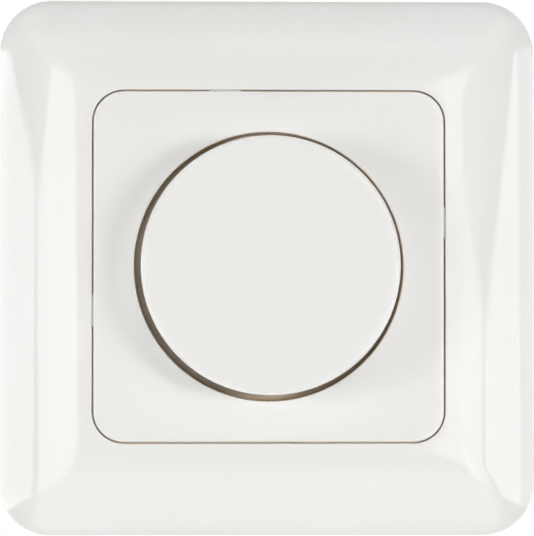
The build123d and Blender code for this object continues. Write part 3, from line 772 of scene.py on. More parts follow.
@dataclass(frozen=True)
class GlossMoulding:
    """Polished white moulding with a faint orange peel and a painted warm shade deep in its gaps.

    Attributes:
        colour: Colour of the skin.
        drift: Slightly warmer colour that it drifts to.
        painted_shade_colour: Colour of the painted shade deep in the gaps.
        gap_level: Height in mm off the wall below which the painted shade shows.
        gap_fade: Depth in mm over which it fades in.
        gap_foot: Height in mm of the square gap's foot.
        gap_reach: Half width in mm of the square that holds the gap.
        cup_foot: Height in mm of the round cup's foot.
        cup_radius: Radius in mm of the round cup.
        roughness: Roughness of the polish.
        polish_swing: How far the roughness goes below and above that.
        peel: Strength of the orange peel.
        peel_depth: Depth of the orange peel in metres.
        drift_scale: Slow drift of the colour per metre.
        drift_range: Values of the drift between which the colour changes.
        fine_scale: Fine unevenness per metre.
        fine_range: Values of the unevenness between which the roughness changes.
        fine_share: Share of the fine unevenness in the orange peel.
        ior: Refraction of the skin.
    """

    colour: Colour
    drift: Colour
    painted_shade_colour: Colour
    gap_level: float
    gap_fade: float
    gap_foot: float
    gap_reach: float
    cup_foot: float = 0.0
    cup_radius: float = 0.0
    roughness: float = 0.055
    polish_swing: Extent = (-0.02, 0.03)
    peel: float = 0.015
    peel_depth: float = 0.0002
    drift_scale: float = 45.0
    drift_range: Extent = (0.35, 0.7)
    fine_scale: float = 520.0
    fine_range: Extent = (0.3, 0.7)
    fine_share: float = 0.6
    ior: float = 1.5

    def material(self, name: str, effects: SharedEffects) -> bpy.types.Material:
        """Builds the material.

        Args:
            name: Name of the material.
            effects: The shared node groups.

        Returns:
            The material.
        """
        material, graph, coords, shader = start_material(name)
        grain = graph.shared(effects.surface_grain, {
            "Vector": coords, "Slow Scale": self.drift_scale, "Fine Scale": self.fine_scale,
            "Fine Share": self.fine_share})
        skin = graph.blend(graph.spread(grain["Slow"], self.drift_range, WHOLE),
                           solid(self.colour), solid(self.drift))
        # painted shade: deep in the gaps the skin colour is mixed towards a warm brown, laid on as colour
        # in place of the dim light there
        gap = graph.shared(effects.gap_shade, {
            "Vector": coords, "Level": self.gap_level * MM, "Fade": self.gap_fade * MM,
            "Foot": self.gap_foot * MM, "Reach": self.gap_reach * MM, "Cup Foot": self.cup_foot * MM,
            "Cup Radius": self.cup_radius * MM})
        tone = graph.blend(gap["Mask"], skin, solid(self.painted_shade_colour))
        rough = graph.spread(grain["Fine"], self.fine_range, around(self.roughness, self.polish_swing))
        normal = graph.relief(self.peel, self.peel_depth, grain["Height"])
        graph.feed(shader, {"Base Color": tone, "Roughness": rough, "Normal": normal, "IOR": self.ior})
        return material


@dataclass(frozen=True)
class TexturedMoulding:
    """Matt moulding, coating or laminate with a fine texture.

    Attributes:
        colour: Main colour.
        second: Colour of the slow clouds.
        grain_scale: Fine texture per metre.
        grain: Strength of the texture.
        roughness: Mean roughness.
        roughness_swing: How far the roughness goes below and above that.
        grain_depth: Depth of the texture in metres.
        grain_share: Share of the fine texture in the relief.
        cloud_scale: Slow clouds per metre.
        mask_range: Values of the clouds and the texture between which they take effect.
    """

    colour: Colour
    second: Colour
    grain_scale: float = 3200.0
    grain: float = 0.25
    roughness: float = 0.5
    roughness_swing: Extent = (-0.08, 0.08)
    grain_depth: float = 0.0001
    grain_share: float = 0.9
    cloud_scale: float = 90.0
    mask_range: Extent = (0.3, 0.7)

    def material(self, name: str, effects: SharedEffects) -> bpy.types.Material:
        """Builds the material.

        Args:
            name: Name of the material.
            effects: The shared node groups.

        Returns:
            The material.
        """
        material, graph, coords, shader = start_material(name)
        grain = graph.shared(effects.surface_grain, {
            "Vector": coords, "Slow Scale": self.cloud_scale, "Fine Scale": self.grain_scale,
            "Fine Share": self.grain_share})
        tone = graph.blend(graph.spread(grain["Slow"], self.mask_range, WHOLE),
                           solid(self.colour), solid(self.second))
        rough = graph.spread(grain["Fine"], self.mask_range, around(self.roughness, self.roughness_swing))
        normal = graph.relief(self.grain, self.grain_depth, grain["Height"])
        graph.feed(shader, {"Base Color": tone, "Roughness": rough, "Normal": normal})
        return material


@dataclass(frozen=True)
class PlatedMetal:
    """Metal with a cloudy plating and the streaks of rolling or turning.

    Attributes:
        colour: Main colour.
        second: Colour of the clouds in the plating.
        stretch: Scale of the streaks along each axis.
        cloud_scale: Clouds per metre.
        streak_scale: Streaks per metre.
        roughness: Mean roughness.
        roughness_swing: How far the roughness goes below and above that.
        relief: Strength of the streaks' relief.
        relief_depth: Depth of the streaks in metres.
        cloud_range: Values of the clouds between which the colour changes.
        streak_range: Values of the streaks between which the roughness changes.
    """

    colour: Colour
    second: Colour
    stretch: tuple[float, float, float] = (0.06, 1.0, 1.0)
    cloud_scale: float = 160.0
    streak_scale: float = 2400.0
    roughness: float = 0.3
    roughness_swing: Extent = (-0.07, 0.1)
    relief: float = 0.12
    relief_depth: float = 0.00005
    cloud_range: Extent = (0.35, 0.68)
    streak_range: Extent = (0.25, 0.75)

    def material(self, name: str, effects: SharedEffects) -> bpy.types.Material:
        """Builds the material.

        Args:
            name: Name of the material.
            effects: The shared node groups.

        Returns:
            The material.
        """
        material, graph, coords, shader = start_material(name)
        plating = graph.shared(effects.plating_drift, {
            "Vector": coords, "Cloud Scale": self.cloud_scale, "Streak Scale": self.streak_scale,
            "Stretch": self.stretch})
        tone = graph.blend(graph.spread(plating["Cloud"], self.cloud_range, WHOLE),
                           solid(self.colour), solid(self.second))
        swing = around(self.roughness, self.roughness_swing)
        rough = graph.spread(plating["Streak"], self.streak_range, swing)
        normal = graph.relief(self.relief, self.relief_depth, plating["Streak"])
        graph.feed(shader, {"Base Color": tone, "Roughness": rough, "Normal": normal, "Metallic": 1.0})
        return material


@dataclass(frozen=True)
class ClearGlass:
    """Thin clear glass with faint drawn lines.

    Attributes:
        colour: Tint of the glass.
        roughness: Mean roughness.
        roughness_swing: How far the roughness goes below and above that.
        stretch: Scale of the drawn lines along each axis.
        cloud_scale: Slow clouds per metre.
        line_scale: Drawn lines per metre.
        line_range: Values of the lines between which the roughness changes.
        ior: Refraction of the glass.
    """

    colour: Colour
    roughness: float = 0.04
    roughness_swing: Extent = (-0.02, 0.03)
    stretch: tuple[float, float, float] = (0.05, 1.0, 1.0)
    cloud_scale: float = 120.0
    line_scale: float = 1500.0
    line_range: Extent = (0.3, 0.7)
    ior: float = 1.47

    def material(self, name: str, effects: SharedEffects) -> bpy.types.Material:
        """Builds the material.

        Args:
            name: Name of the material.
            effects: The shared node groups.

        Returns:
            The material.
        """
        material, graph, coords, shader = start_material(name)
        drawn = graph.shared(effects.plating_drift, {
            "Vector": coords, "Cloud Scale": self.cloud_scale, "Streak Scale": self.line_scale,
            "Stretch": self.stretch})
        swing = around(self.roughness, self.roughness_swing)
        rough = graph.spread(drawn["Streak"], self.line_range, swing)
        graph.feed(shader, {"Base Color": solid(self.colour), "Roughness": rough, "IOR": self.ior,
                            "Transmission Weight": 1.0})
        return material


Finish = Union[GlossMoulding, TexturedMoulding, PlatedMetal, ClearGlass]

WHITE: Colour = (0.868, 0.861, 0.843)
WARM_WHITE: Colour = (0.862, 0.853, 0.828)
# painted shade: warm brown laid as colour deep in the gaps, standing in for the dim light there
PAINTED_GAP_SHADE: Colour = (0.95, 0.79, 0.60)
TURNED = (1.0, 0.08, 1.0)  # streaks along the axis of a screw

FINISHES: dict[Slot, Finish] = {
    Slot.WHITE_FRAME: GlossMoulding(WHITE, WARM_WHITE, PAINTED_GAP_SHADE, gap_level=9.3, gap_fade=0.6,
                                    gap_foot=7.1, gap_reach=27.8),
    Slot.WHITE_PLATE: GlossMoulding(WHITE, WARM_WHITE, PAINTED_GAP_SHADE, gap_level=9.25, gap_fade=0.6,
                                    gap_foot=7.25, gap_reach=30.0, cup_foot=3.0, cup_radius=21.5),
    Slot.WHITE_KNOB: GlossMoulding(WHITE, WARM_WHITE, PAINTED_GAP_SHADE, gap_level=9.4, gap_fade=1.2,
                                   gap_foot=7.0, gap_reach=30.0),
    Slot.SPRING_STEEL: PlatedMetal((0.36, 0.36, 0.37), (0.28, 0.29, 0.32), roughness=0.32),
    Slot.ZINC_HARDWARE: PlatedMetal((0.54, 0.55, 0.57), (0.46, 0.475, 0.48), TURNED, roughness=0.32),
    Slot.NICKEL_HARDWARE: PlatedMetal((0.62, 0.58, 0.51), (0.57, 0.54, 0.49), TURNED, roughness=0.2),
    Slot.ZINC_SHEET: PlatedMetal((0.50, 0.515, 0.54), (0.43, 0.44, 0.435), roughness=0.42, relief=0.2),
    Slot.HOUSING_MOULDING: TexturedMoulding((0.030, 0.031, 0.034), (0.037, 0.038, 0.041)),
    Slot.TERMINAL_MOULDING: TexturedMoulding((0.36, 0.36, 0.345), (0.39, 0.39, 0.37)),
    Slot.BOARD_LAMINATE: TexturedMoulding((0.06, 0.14, 0.04), (0.08, 0.17, 0.05), grain_scale=1800.0,
                                          grain=0.15, roughness=0.35),
    Slot.MILL_ALUMINIUM: PlatedMetal((0.70, 0.71, 0.72), (0.66, 0.67, 0.69), roughness=0.3),
    Slot.COMPONENT_MOULDING: TexturedMoulding((0.014, 0.014, 0.016), (0.02, 0.02, 0.022)),
    Slot.CARBON_TRACK: TexturedMoulding((0.008, 0.008, 0.008), (0.012, 0.012, 0.012), grain_scale=5000.0,
                                        grain=0.2, roughness=0.6),
    Slot.CARRIER_MOULDING: TexturedMoulding((0.60, 0.585, 0.50), (0.64, 0.62, 0.54), grain_scale=2500.0,
                                            grain=0.1, roughness=0.4),
    Slot.CONTACT_BRONZE: PlatedMetal((0.62, 0.40, 0.19), (0.55, 0.34, 0.16), roughness=0.28),
    Slot.CORE_IRON: TexturedMoulding((0.17, 0.13, 0.03), (0.20, 0.15, 0.04), grain_scale=2600.0,
                                     grain=0.3, roughness=0.45),
    Slot.WINDING_COPPER: PlatedMetal((0.52, 0.19, 0.07), (0.45, 0.15, 0.06), roughness=0.22),
    Slot.CAPACITOR_MOULDING: TexturedMoulding((0.38, 0.27, 0.03), (0.42, 0.30, 0.04), grain_scale=2400.0,
                                              grain=0.12, roughness=0.4),
    Slot.FUSE_GLASS: ClearGlass((0.93, 0.96, 0.95)),
    Slot.RESISTOR_COAT: TexturedMoulding((0.40, 0.27, 0.12), (0.44, 0.30, 0.14), grain_scale=2200.0,
                                         grain=0.1, roughness=0.35),
}


class Workshop:
    """Hands out the materials and fits finished pieces to the frame."""

    def __init__(self) -> None:
        """Builds the material of every slot."""
        effects = SharedEffects()
        self.materials = {slot: finish.material(slot.value, effects) for slot, finish in FINISHES.items()}
        parts = frame["record"]["subparts"]
        self.node_slots = {part["node"]: Slot(part["material_slot"]) for part in parts}

    def paint(self, piece: bpy.types.Object, slot: Slot) -> None:
        """Gives a piece one finish all over.

        Args:
            piece: The piece.
            slot: Its finish slot.
        """
        piece.data.materials.clear()
        piece.data.materials.append(self.materials[slot])

    def paint_solids(self) -> None:
        """Gives each solid of the frame its finish."""
        for node, piece in frame["nodes"].items():
            self.paint(piece, self.node_slots[node])
            log.info("%s dressed as %s", node, self.node_slots[node].value)

    def fit(self, piece: bpy.types.Object, node: str) -> None:
        """Lets a finished piece stand for a solid.

        Args:
            piece: The finished piece.
            node: The solid that it replaces.
        """
        slot = self.node_slots[node]
        self.paint(piece, slot)
        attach(piece, frame["nodes"][node]["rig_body"])
        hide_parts(node)
        log.info("%s stands for %s with %d faces", piece.name, node, len(piece.data.polygons))


Pieces = dict[str, bpy.types.Object]


class SubAssembly:
    """Pieces that are modelled together and then dressed, each by the solid that it stands for."""

    def build(self) -> Pieces:
        """Models the pieces."""
        raise NotImplementedError

    def dress(self, pieces: Pieces, workshop: Workshop) -> None:
        """Gives the pieces their finishes and fits them to the frame.

        Args:
            pieces: The finished pieces by the solid that each stands for.
            workshop: Hands out the finishes.
        """
        for node, piece in pieces.items():
            workshop.fit(piece, node)


def span(node: str, axis: int) -> tuple[float, float]:
    """Reads the extent of a solid.

    Args:
        node: Name of the solid.
        axis: 0 across, 1 into the wall, 2 up.

    Returns:
        Lowest and highest value in mm.
    """
    low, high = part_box(node)
    return low[axis] / MM, high[axis] / MM


@dataclass
class CoverFrame(SubAssembly):
    """Convex square surround with a stepped opening, sizes in mm."""

    width: float = field(default_factory=lambda: 2 * span("cover_frame", 0)[1])
    height: float = field(default_factory=lambda: -span("cover_frame", 1)[0])
    corner: float = 8.2
    mitre: float = 2.6
    rim: float = 1.0
    top_tilt: float = 4.0
    wall: float = 2.0
    opening: float = 55.5
    opening_corner: float = 5.05
    lip: float = 0.12
    lip_steps: int = 4
    ledge_level: float = 7.2
    ledge_width: float = 1.5
    collar_bottom: float = 5.5
    collar_wall: float = 1.5
    rib_thickness: float = 1.2
    rib_offset: float = 17.0
    rib_level: float = 3.0
    rib_edge: float = 0.05
    rib_cuts: int = 8
    stations: int = 28
    corner_steps: int = 16

    def pillow(self, width: float, corner: float, top: float, stop: float, stations: int) -> list[Ring]:
        """Rings of the convex skin, along an arc from the rim to the opening.

        Args:
            width: Full width at the rim.
            corner: Corner radius at the rim.
            top: Height at the opening.
            stop: Width at which the rings end.
            stations: Number of steps.

        Returns:
            The rings from the rim inwards.
        """
        run = (width - self.opening) / 2
        rise = top - self.rim
        end = math.radians(self.top_tilt)
        start = 2 * math.atan2(rise, run) - end
        radius = run / (math.sin(start) - math.sin(end))
        stop_tilt = math.asin(math.sin(start) - (width - stop) / 2 / radius)
        rings = []
        for i in range(stations + 1):
            tilt = start + (stop_tilt - start) * i / stations
            inset = radius * (math.sin(start) - math.sin(tilt))
            level = self.rim + radius * (math.cos(tilt) - math.cos(start))
            rings.append(Ring(width - 2 * inset, level, max(corner - inset, self.mitre)))
        return rings

    def skin(self, stations: int) -> list[Ring]:
        """Rings of the outer skin, from the rim to just short of the opening.

        Args:
            stations: Number of steps.

        Returns:
            The rings from the rim inwards.
        """
        return self.pillow(self.width, self.corner, self.height, self.opening + 4 * self.lip, stations)

    def build(self) -> Pieces:
        """Models the surround.

        Returns:
            The finished piece by its solid.
        """
        foot = Ring(self.width, 0.0, self.corner)
        edge = Ring(self.opening, self.height - self.lip, self.opening_corner)
        crest = Ring(self.opening + 2 * self.lip, self.height, self.opening_corner + self.lip)
        ledge = self.opening - 2 * self.ledge_width
        ledge_corner = self.opening_corner - self.ledge_width
        collar = self.opening + 2 * self.collar_wall
        collar_corner = self.opening_corner + self.collar_wall
        inner_width = self.width - 2 * self.wall
        hollow = self.pillow(inner_width, self.corner - self.wall, self.height - self.wall,
                             collar + self.wall, self.stations // 2)
        hollow.reverse()
        inner_foot = Ring(inner_width, 0.0, self.corner - self.wall)

        shell = RingShell("surround_moulding", foot, self.corner_steps)
        shell.draw(self.skin(self.stations))
        shell.draw([crest])
        shell.draw(self.lip_rings(crest, edge))
        shell.draw([Ring(self.opening, self.ledge_level, self.opening_corner),
                    Ring(ledge, self.ledge_level, ledge_corner),
                    Ring(ledge, self.collar_bottom, ledge_corner),
                    Ring(collar, self.collar_bottom, collar_corner),
                    Ring(collar, hollow[0].level - self.lip, collar_corner)])
        shell.draw(hollow)
        shell.draw([inner_foot])
        shell.bridge(foot, inner_foot)
        piece = shell.close_up()
        join_into(piece, self.ribs())
        smooth(piece)
        return {"cover_frame": piece}

    def lip_rings(self, crest: Ring, edge: Ring) -> list[Ring]:
        """Small rounding where the skin turns down into the opening.

        Args:
            crest: Highest ring.
            edge: Ring at the start of the straight wall.

        Returns:
            The rings after the crest.
        """
        rings = rounding(edge, crest, self.lip_steps)
        rings.reverse()
        return [*rings[1:], edge]

    def ribs(self) -> list[bpy.types.Object]:
        """Ribs on the back, cut along the underside of the skin.

        Returns:
            The ribs.
        """
        inner_end = self.opening / 2 + self.collar_wall / 2
        outer_end = self.width / 2 - self.wall
        made = []
        for side in Side:
            middle = side.value * self.rib_offset
            low = Vector((inner_end, middle - self.rib_thickness / 2, self.rib_level))
            high = Vector((outer_end, middle + self.rib_thickness / 2, self.height - self.wall / 2))
            rib = add_bar(f"surround_rib_{side.name.lower()}", low, high, soften=self.rib_edge)
            self.trim_rib(rib)
            made.extend(copy_round(rib, SQUARE_SIDES, SQUARE_SIDES))
        return made

    def trim_rib(self, rib: bpy.types.Object) -> None:
        """Cuts a rib of the right side off along the middle of the skin.

        Args:
            rib: The rib.
        """
        depth = self.wall / 2
        skin = self.skin(self.rib_cuts)
        with Editing(rib) as editing:
            for first, second in zip(skin, skin[1:]):
                tilt = math.atan2(second.level - first.level, (first.width - second.width) / 2)
                reach = first.width / 2 - depth * math.sin(tilt)
                level = first.level - depth * math.cos(tilt)
                bpy.ops.mesh.select_all(action="SELECT")
                bpy.ops.mesh.bisect(plane_co=point(reach, 0, level),
                                    plane_no=(math.sin(tilt), -math.cos(tilt), 0),
                                    use_fill=True, clear_outer=True, threshold=MERGE_GAP)
            editing.tidy()


@dataclass
class CentrePlate(SubAssembly):
    """Square plate with a round cup, a skirt, stays and four centring ribs, sizes in mm."""

    width: float = 55.0
    top: float = field(default_factory=lambda: -span("centre_plate", 1)[0])
    bottom: float = field(default_factory=lambda: -span("centre_plate", 1)[1])
    corner: float = 4.8
    thickness: float = 2.4
    edge_round: float = 0.3
    edge_steps: int = 5
    hold: float = 0.4
    skirt_width: float = 52.0
    skirt_corner: float = 3.3
    skirt_wall: float = 1.5
    skirt_depth: float = 2.2
    recess_radius: float = 21.15
    recess_level: float = 3.2
    recess_wall: float = 1.6
    recess_steps: int = 4
    hole_radius: float = 5.2
    rib_length: float = 5.0
    rib_offset: float = 6.9
    rib_set_back: float = 0.45
    low_rib_set_back: float = 1.4
    rib_reach: float = 0.2
    rib_edge: float = 0.08
    corner_steps: int = 12
    round_steps: int = 144

    def build(self) -> Pieces:
        """Models the plate.

        Returns:
            The finished piece by its solid.
        """
        underside = self.top - self.thickness
        foot = Ring(self.width, underside, self.corner)
        wall_top = Ring(self.width, self.top - self.edge_round, self.corner)
        flat = Ring(self.width - 2 * self.edge_round, self.top, self.corner - self.edge_round)
        inside = Ring(flat.width - 2 * self.hold, self.top, flat.corner - self.hold)
        skirt_inner = self.skirt_width - 2 * self.skirt_wall
        skirt_inner_corner = self.skirt_corner - self.skirt_wall
        skirt_foot = underside - self.skirt_depth
        skirt_end = Ring(skirt_inner, underside, skirt_inner_corner)

        shell = RingShell("plate_moulding", foot, self.corner_steps)
        shell.draw([wall_top, *rounding(wall_top, flat, self.edge_steps), inside])
        shell.draw([Ring(self.skirt_width, underside, self.skirt_corner),
                    Ring(self.skirt_width, skirt_foot, self.skirt_corner),
                    Ring(skirt_inner, skirt_foot, skirt_inner_corner), skirt_end], foot)
        cup, cup_start, cup_end = self.cup()
        join_into(shell.piece, [cup.piece])
        shell.bridge(inside, cup_start)
        shell.bridge(skirt_end, cup_end)
        piece = shell.close_up()
        join_into(piece, [*self.stays(), *self.centring_ribs()])
        smooth(piece)
        return {"centre_plate": piece}

    def cup(self) -> tuple[RingShell, Ring, Ring]:
        """Round cup with a hole in its floor, open at the plate's top and underside.

        Returns:
            The cup, its first ring and its last ring.
        """
        underside = self.top - self.thickness
        inner = 2 * self.recess_radius
        outer = inner + 2 * self.recess_wall
        start = Ring(inner + 2 * self.edge_round + 2 * self.hold, self.top)
        rim = Ring(inner + 2 * self.edge_round, self.top)
        wall = Ring(inner, self.top - self.edge_round)
        corner = Ring(inner, self.recess_level + self.edge_round)
        floor = Ring(inner - 2 * self.edge_round, self.recess_level)
        end = Ring(outer, underside)
        lip = rounding(wall, rim, self.edge_steps)
        lip.reverse()
        shell = RingShell("plate_cup", start, self.round_steps)
        shell.draw([*lip, wall, corner, *rounding(corner, floor, self.recess_steps),
                    Ring(floor.width - 2 * self.hold, self.recess_level),
                    Ring(2 * self.hole_radius, self.recess_level),
                    Ring(2 * self.hole_radius, self.bottom), Ring(outer, self.bottom), end])
        return shell, start, end

    def stays(self) -> list[bpy.types.Object]:
        """Diagonal stays between the cup and the skirt.

        Returns:
            The stays.
        """
        underside = self.top - self.thickness
        near = self.recess_radius + self.recess_wall / 2
        far = self.skirt_width / math.sqrt(2) - 2 * self.skirt_wall
        half = self.skirt_wall / 2
        stay = add_bar("plate_stay", Vector((near, -half, underside - self.skirt_depth)),
                       Vector((far, half, underside + half)), QUARTER / 2)
        return copy_round(stay, SQUARE_SIDES, SQUARE_SIDES)

    def centring_ribs(self) -> list[bpy.types.Object]:
        """Low ribs that centre the plate in the surround, the lowest of them set deeper.

        Returns:
            The ribs.
        """
        half = self.rib_length / 2
        low = Vector((self.width / 2 - self.skirt_wall, self.rib_offset - half,
                      self.top - self.thickness + self.rib_set_back))
        high = Vector((self.width / 2 + self.rib_reach, self.rib_offset + half,
                       self.top - self.rib_set_back))
        deep = Vector((high.x, high.y, self.top - self.low_rib_set_back))
        upper_count = SQUARE_SIDES - 1
        rib = add_bar("plate_rib", low, high, soften=self.rib_edge)
        low_rib = add_bar("plate_low_rib", low, deep, upper_count * QUARTER, self.rib_edge)
        return [*copy_round(rib, upper_count, SQUARE_SIDES), low_rib]


@dataclass
class Knob(SubAssembly):
    """Round blank knob with a hollow, ribbed underside, sizes in mm."""

    top: float = field(default_factory=lambda: -span("knob", 1)[0])
    bottom: float = field(default_factory=lambda: -span("knob", 1)[1])
    foot_radius: float = field(default_factory=lambda: span("knob", 0)[1])
    draft: float = 0.12
    edge_round: float = 0.7
    edge_steps: int = 8
    hold: float = 0.5
    wall: float = 1.6
    roof: float = 1.8
    hub_radius: float = 5.3
    hub_bottom: float = 8.9
    bore_radius: float = 3.03
    bore_flat: float = 1.53
    bore_top: float = 16.7
    groove_depth: float = 0.5
    groove_lift: float = 0.8
    groove_height: float = 1.83
    rib_count: int = 6
    rib_thickness: float = 1.0
    rib_lift: float = 3.0
    round_steps: int = 160

    def build(self) -> Pieces:
        """Models the knob.

        Returns:
            The finished piece by its solid.
        """
        top_width = 2 * (self.foot_radius - self.draft)
        foot = Ring(2 * self.foot_radius, self.bottom)
        wall_top = Ring(top_width, self.top - self.edge_round)
        face = Ring(top_width - 2 * self.edge_round, self.top)
        inner = top_width - 2 * self.wall
        roof_level = self.top - self.roof
        hub = 2 * self.hub_radius
        groove = hub - 2 * self.groove_depth
        groove_low = self.hub_bottom + self.groove_lift
        groove_high = groove_low + self.groove_height

        shell = RingShell("knob_moulding", foot, self.round_steps)
        shell.draw([Ring(foot.width - self.draft, (self.bottom + wall_top.level) / 2), wall_top,
                    *rounding(wall_top, face, self.edge_steps),
                    Ring(face.width - 2 * self.hold, self.top)])
        shell.cap()
        shell.draw([Ring(inner, self.bottom), Ring(inner, roof_level), Ring(hub, roof_level),
                    Ring(hub, groove_high), Ring(groove, groove_high), Ring(groove, groove_low),
                    Ring(hub, groove_low), Ring(hub, self.hub_bottom),
                    Ring(2 * self.bore_radius, self.hub_bottom),
                    Ring(2 * self.bore_radius, self.bore_top)], foot)
        shell.cap()
        self.flatten_bore(shell.piece)
        piece = shell.close_up()
        join_into(piece, self.ribs(inner / 2, roof_level))
        smooth(piece)
        return {"knob": piece}

    def flatten_bore(self, piece: bpy.types.Object) -> None:
        """Presses one side of the bore flat, as the shaft has it.

        Args:
            piece: The knob.
        """
        reach = (self.bore_radius + SAME_PLACE) * MM

        def above_flat(vertex: bmesh.types.BMVert) -> bool:
            """Says whether a vertex lies on the bore, above the flat."""
            return math.hypot(vertex.co.x, vertex.co.z) < reach and vertex.co.z > self.bore_flat * MM

        with Editing(piece) as editing:
            editing.select(above_flat)
            bpy.ops.transform.resize(value=(1, 1, 0), center_override=point(0, self.bore_flat, 0))

    def ribs(self, inner: float, roof_level: float) -> list[bpy.types.Object]:
        """Ribs from the hub to the wall, under the roof.

        Args:
            inner: Inner radius of the wall.
            roof_level: Height of the roof's underside.

        Returns:
            The ribs.
        """
        low = Vector((self.hub_radius - self.groove_depth, -self.rib_thickness / 2,
                      self.hub_bottom + self.rib_lift))
        high = Vector((inner + self.wall / 2, self.rib_thickness / 2, roof_level + self.roof / 2))
        return copy_round(add_bar("knob_rib", low, high), self.rib_count, self.rib_count)


@dataclass
class InsertMetalwork(SubAssembly):
    """Support plate, claws and their screws behind the front, sizes in mm."""

    sheet_edge: float = 0.12
    screw_edge: float = 0.08
    screw_axis: float = 26.8
    shank_play: float = 0.05
    shank_end: float = 0.3
    thread_root: float = 1.2
    thread_crest: float = 1.44
    thread_pitch: float = 0.5
    thread_flank: float = 0.3
    thread_crest_share: float = 0.12
    thread_root_share: float = 0.28
    thread_start: float = -0.2
    thread_turns: int = 20
    thread_steps: int = 28

    def build(self) -> Pieces:
        """Models the metalwork.

        Returns:
            The finished pieces by their solids.
        """
        pieces = {"support_plate": refine_solid("support_plate", "support_pressing", self.sheet_edge),
                  "plate_screws": refine_solid("plate_screws", "plate_screw_pair", self.screw_edge)}
        thread = self.thread()
        for side in Side:
            name = side.name.lower()
            claw, nut, pin = f"claw_{name}", f"claw_nut_{name}", f"claw_pin_{name}"
            pieces[claw] = refine_solid(claw, f"claw_pressing_{name}", self.sheet_edge)
            pieces[nut] = refine_solid(nut, f"claw_barrel_{name}", self.screw_edge)
            pieces[pin] = refine_solid(pin, f"claw_rivet_{name}", self.screw_edge)
            pieces[f"claw_screw_{name}"] = self.claw_screw(side, thread)
        bpy.data.meshes.remove(thread.data)
        return pieces

    def claw_screw(self, side: Side, thread: bpy.types.Object) -> bpy.types.Object:
        """Slotted screw with a cut thread.

        Args:
            side: Side of the insert.
            thread: The thread that is copied onto the shank.

        Returns:
            The finished screw.
        """
        name = side.name.lower()
        axis = side.value * self.screw_axis
        screw = refine_solid(f"claw_screw_{name}", f"claw_bolt_{name}", self.screw_edge)
        shank = self.thread_crest + self.shank_play
        _, end = span(f"claw_screw_{name}", 1)

        def on_shank(vertex: bmesh.types.BMVert) -> bool:
            """Says whether a vertex lies on the shank's end."""
            away = math.hypot(vertex.co.x - axis * MM, vertex.co.z)
            return vertex.co.y > (end - self.shank_end) * MM and away < shank * MM

        with Editing(screw) as editing:
            editing.select(on_shank)
            share = self.thread_root / self.thread_crest
            bpy.ops.transform.resize(value=(share, 1, share), center_override=point(axis, 0, 0))
        winding = copy_piece(thread, f"claw_thread_{name}")
        winding.location = point(axis, 0, self.thread_start)
        settle(winding)
        join_into(screw, [winding])
        smooth(screw)
        return screw

    def thread(self) -> bpy.types.Object:
        """Helical thread: a ridge profile wound along the knob's axis.

        Returns:
            The thread, which is copied onto each screw.
        """
        deselect_all()
        bpy.ops.mesh.primitive_plane_add(size=self.thread_root * MM)
        ridge = bpy.context.object
        ridge.name = "claw_thread"
        rise = self.thread_crest - self.thread_root
        profile = ((rise, self.thread_flank), (0.0, self.thread_crest_share),
                   (-rise, self.thread_flank), (0.0, self.thread_root_share))
        with Editing(ridge):
            bpy.ops.mesh.select_all(action="SELECT")
            bpy.ops.mesh.merge(type="CENTER")
            bpy.ops.transform.translate(value=(self.thread_root * MM, 0, 0))
            for outward, share in profile:
                along = share * self.thread_pitch
                bpy.ops.mesh.extrude_vertices_move(
                    TRANSFORM_OT_translate={"value": (outward * MM, along * MM, 0)})
        apply_modifier(ridge, "SCREW", axis="Y", angle=2 * math.pi, screw_offset=self.thread_pitch * MM,
                       iterations=self.thread_turns, steps=self.thread_steps,
                       render_steps=self.thread_steps, use_merge_vertices=True, merge_threshold=MERGE_GAP)
        with Editing(ridge) as editing:
            editing.tidy()
        return ridge


@dataclass
class RearMouldings(SubAssembly):
    """Housing cup, terminal block and terminals, sizes in mm."""

    moulded_edge: float = 0.15
    screw_edge: float = 0.08
    terminals: int = 3

    def build(self) -> Pieces:
        """Models the rear.

        Returns:
            The finished pieces by their solids.
        """
        pieces = {"housing": refine_solid("housing", "housing_cup", self.moulded_edge),
                  "terminal_block": refine_solid("terminal_block", "terminal_housing", self.moulded_edge)}
        for number in range(1, self.terminals + 1):
            screw, cage = f"terminal_screw_{number}", f"terminal_cage_{number}"
            pieces[screw] = refine_solid(screw, f"terminal_bolt_{number}", self.screw_edge)
            pieces[cage] = refine_solid(cage, f"terminal_clamp_{number}", self.screw_edge)
        return pieces


@dataclass
class SwitchSpring(SubAssembly):
    """Coil spring behind the switch plunger, which shortens as the knob is pushed, sizes in mm."""

    wire_edge: float = 0.05
    travel: float = 1.5

    def build(self) -> Pieces:
        """Models the coil, by its solid."""
        return {"switch_spring": refine_solid("switch_spring", "plunger_spring", self.wire_edge)}

    def dress(self, pieces: Pieces, workshop: Workshop) -> None:
        """Gives the coil its finish, fits it to the frame and gives it a mesh of its own.

        Args:
            pieces: The coil by its solid.
            workshop: Hands out the finishes.
        """
        super().dress(pieces, workshop)
        spring = pieces["switch_spring"]
        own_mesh(spring)


class LampRole(Enum):
    """What a lamp does: it lights the object, or it only mirrors in gloss."""

    FILL = "fill"
    CARD = "card"


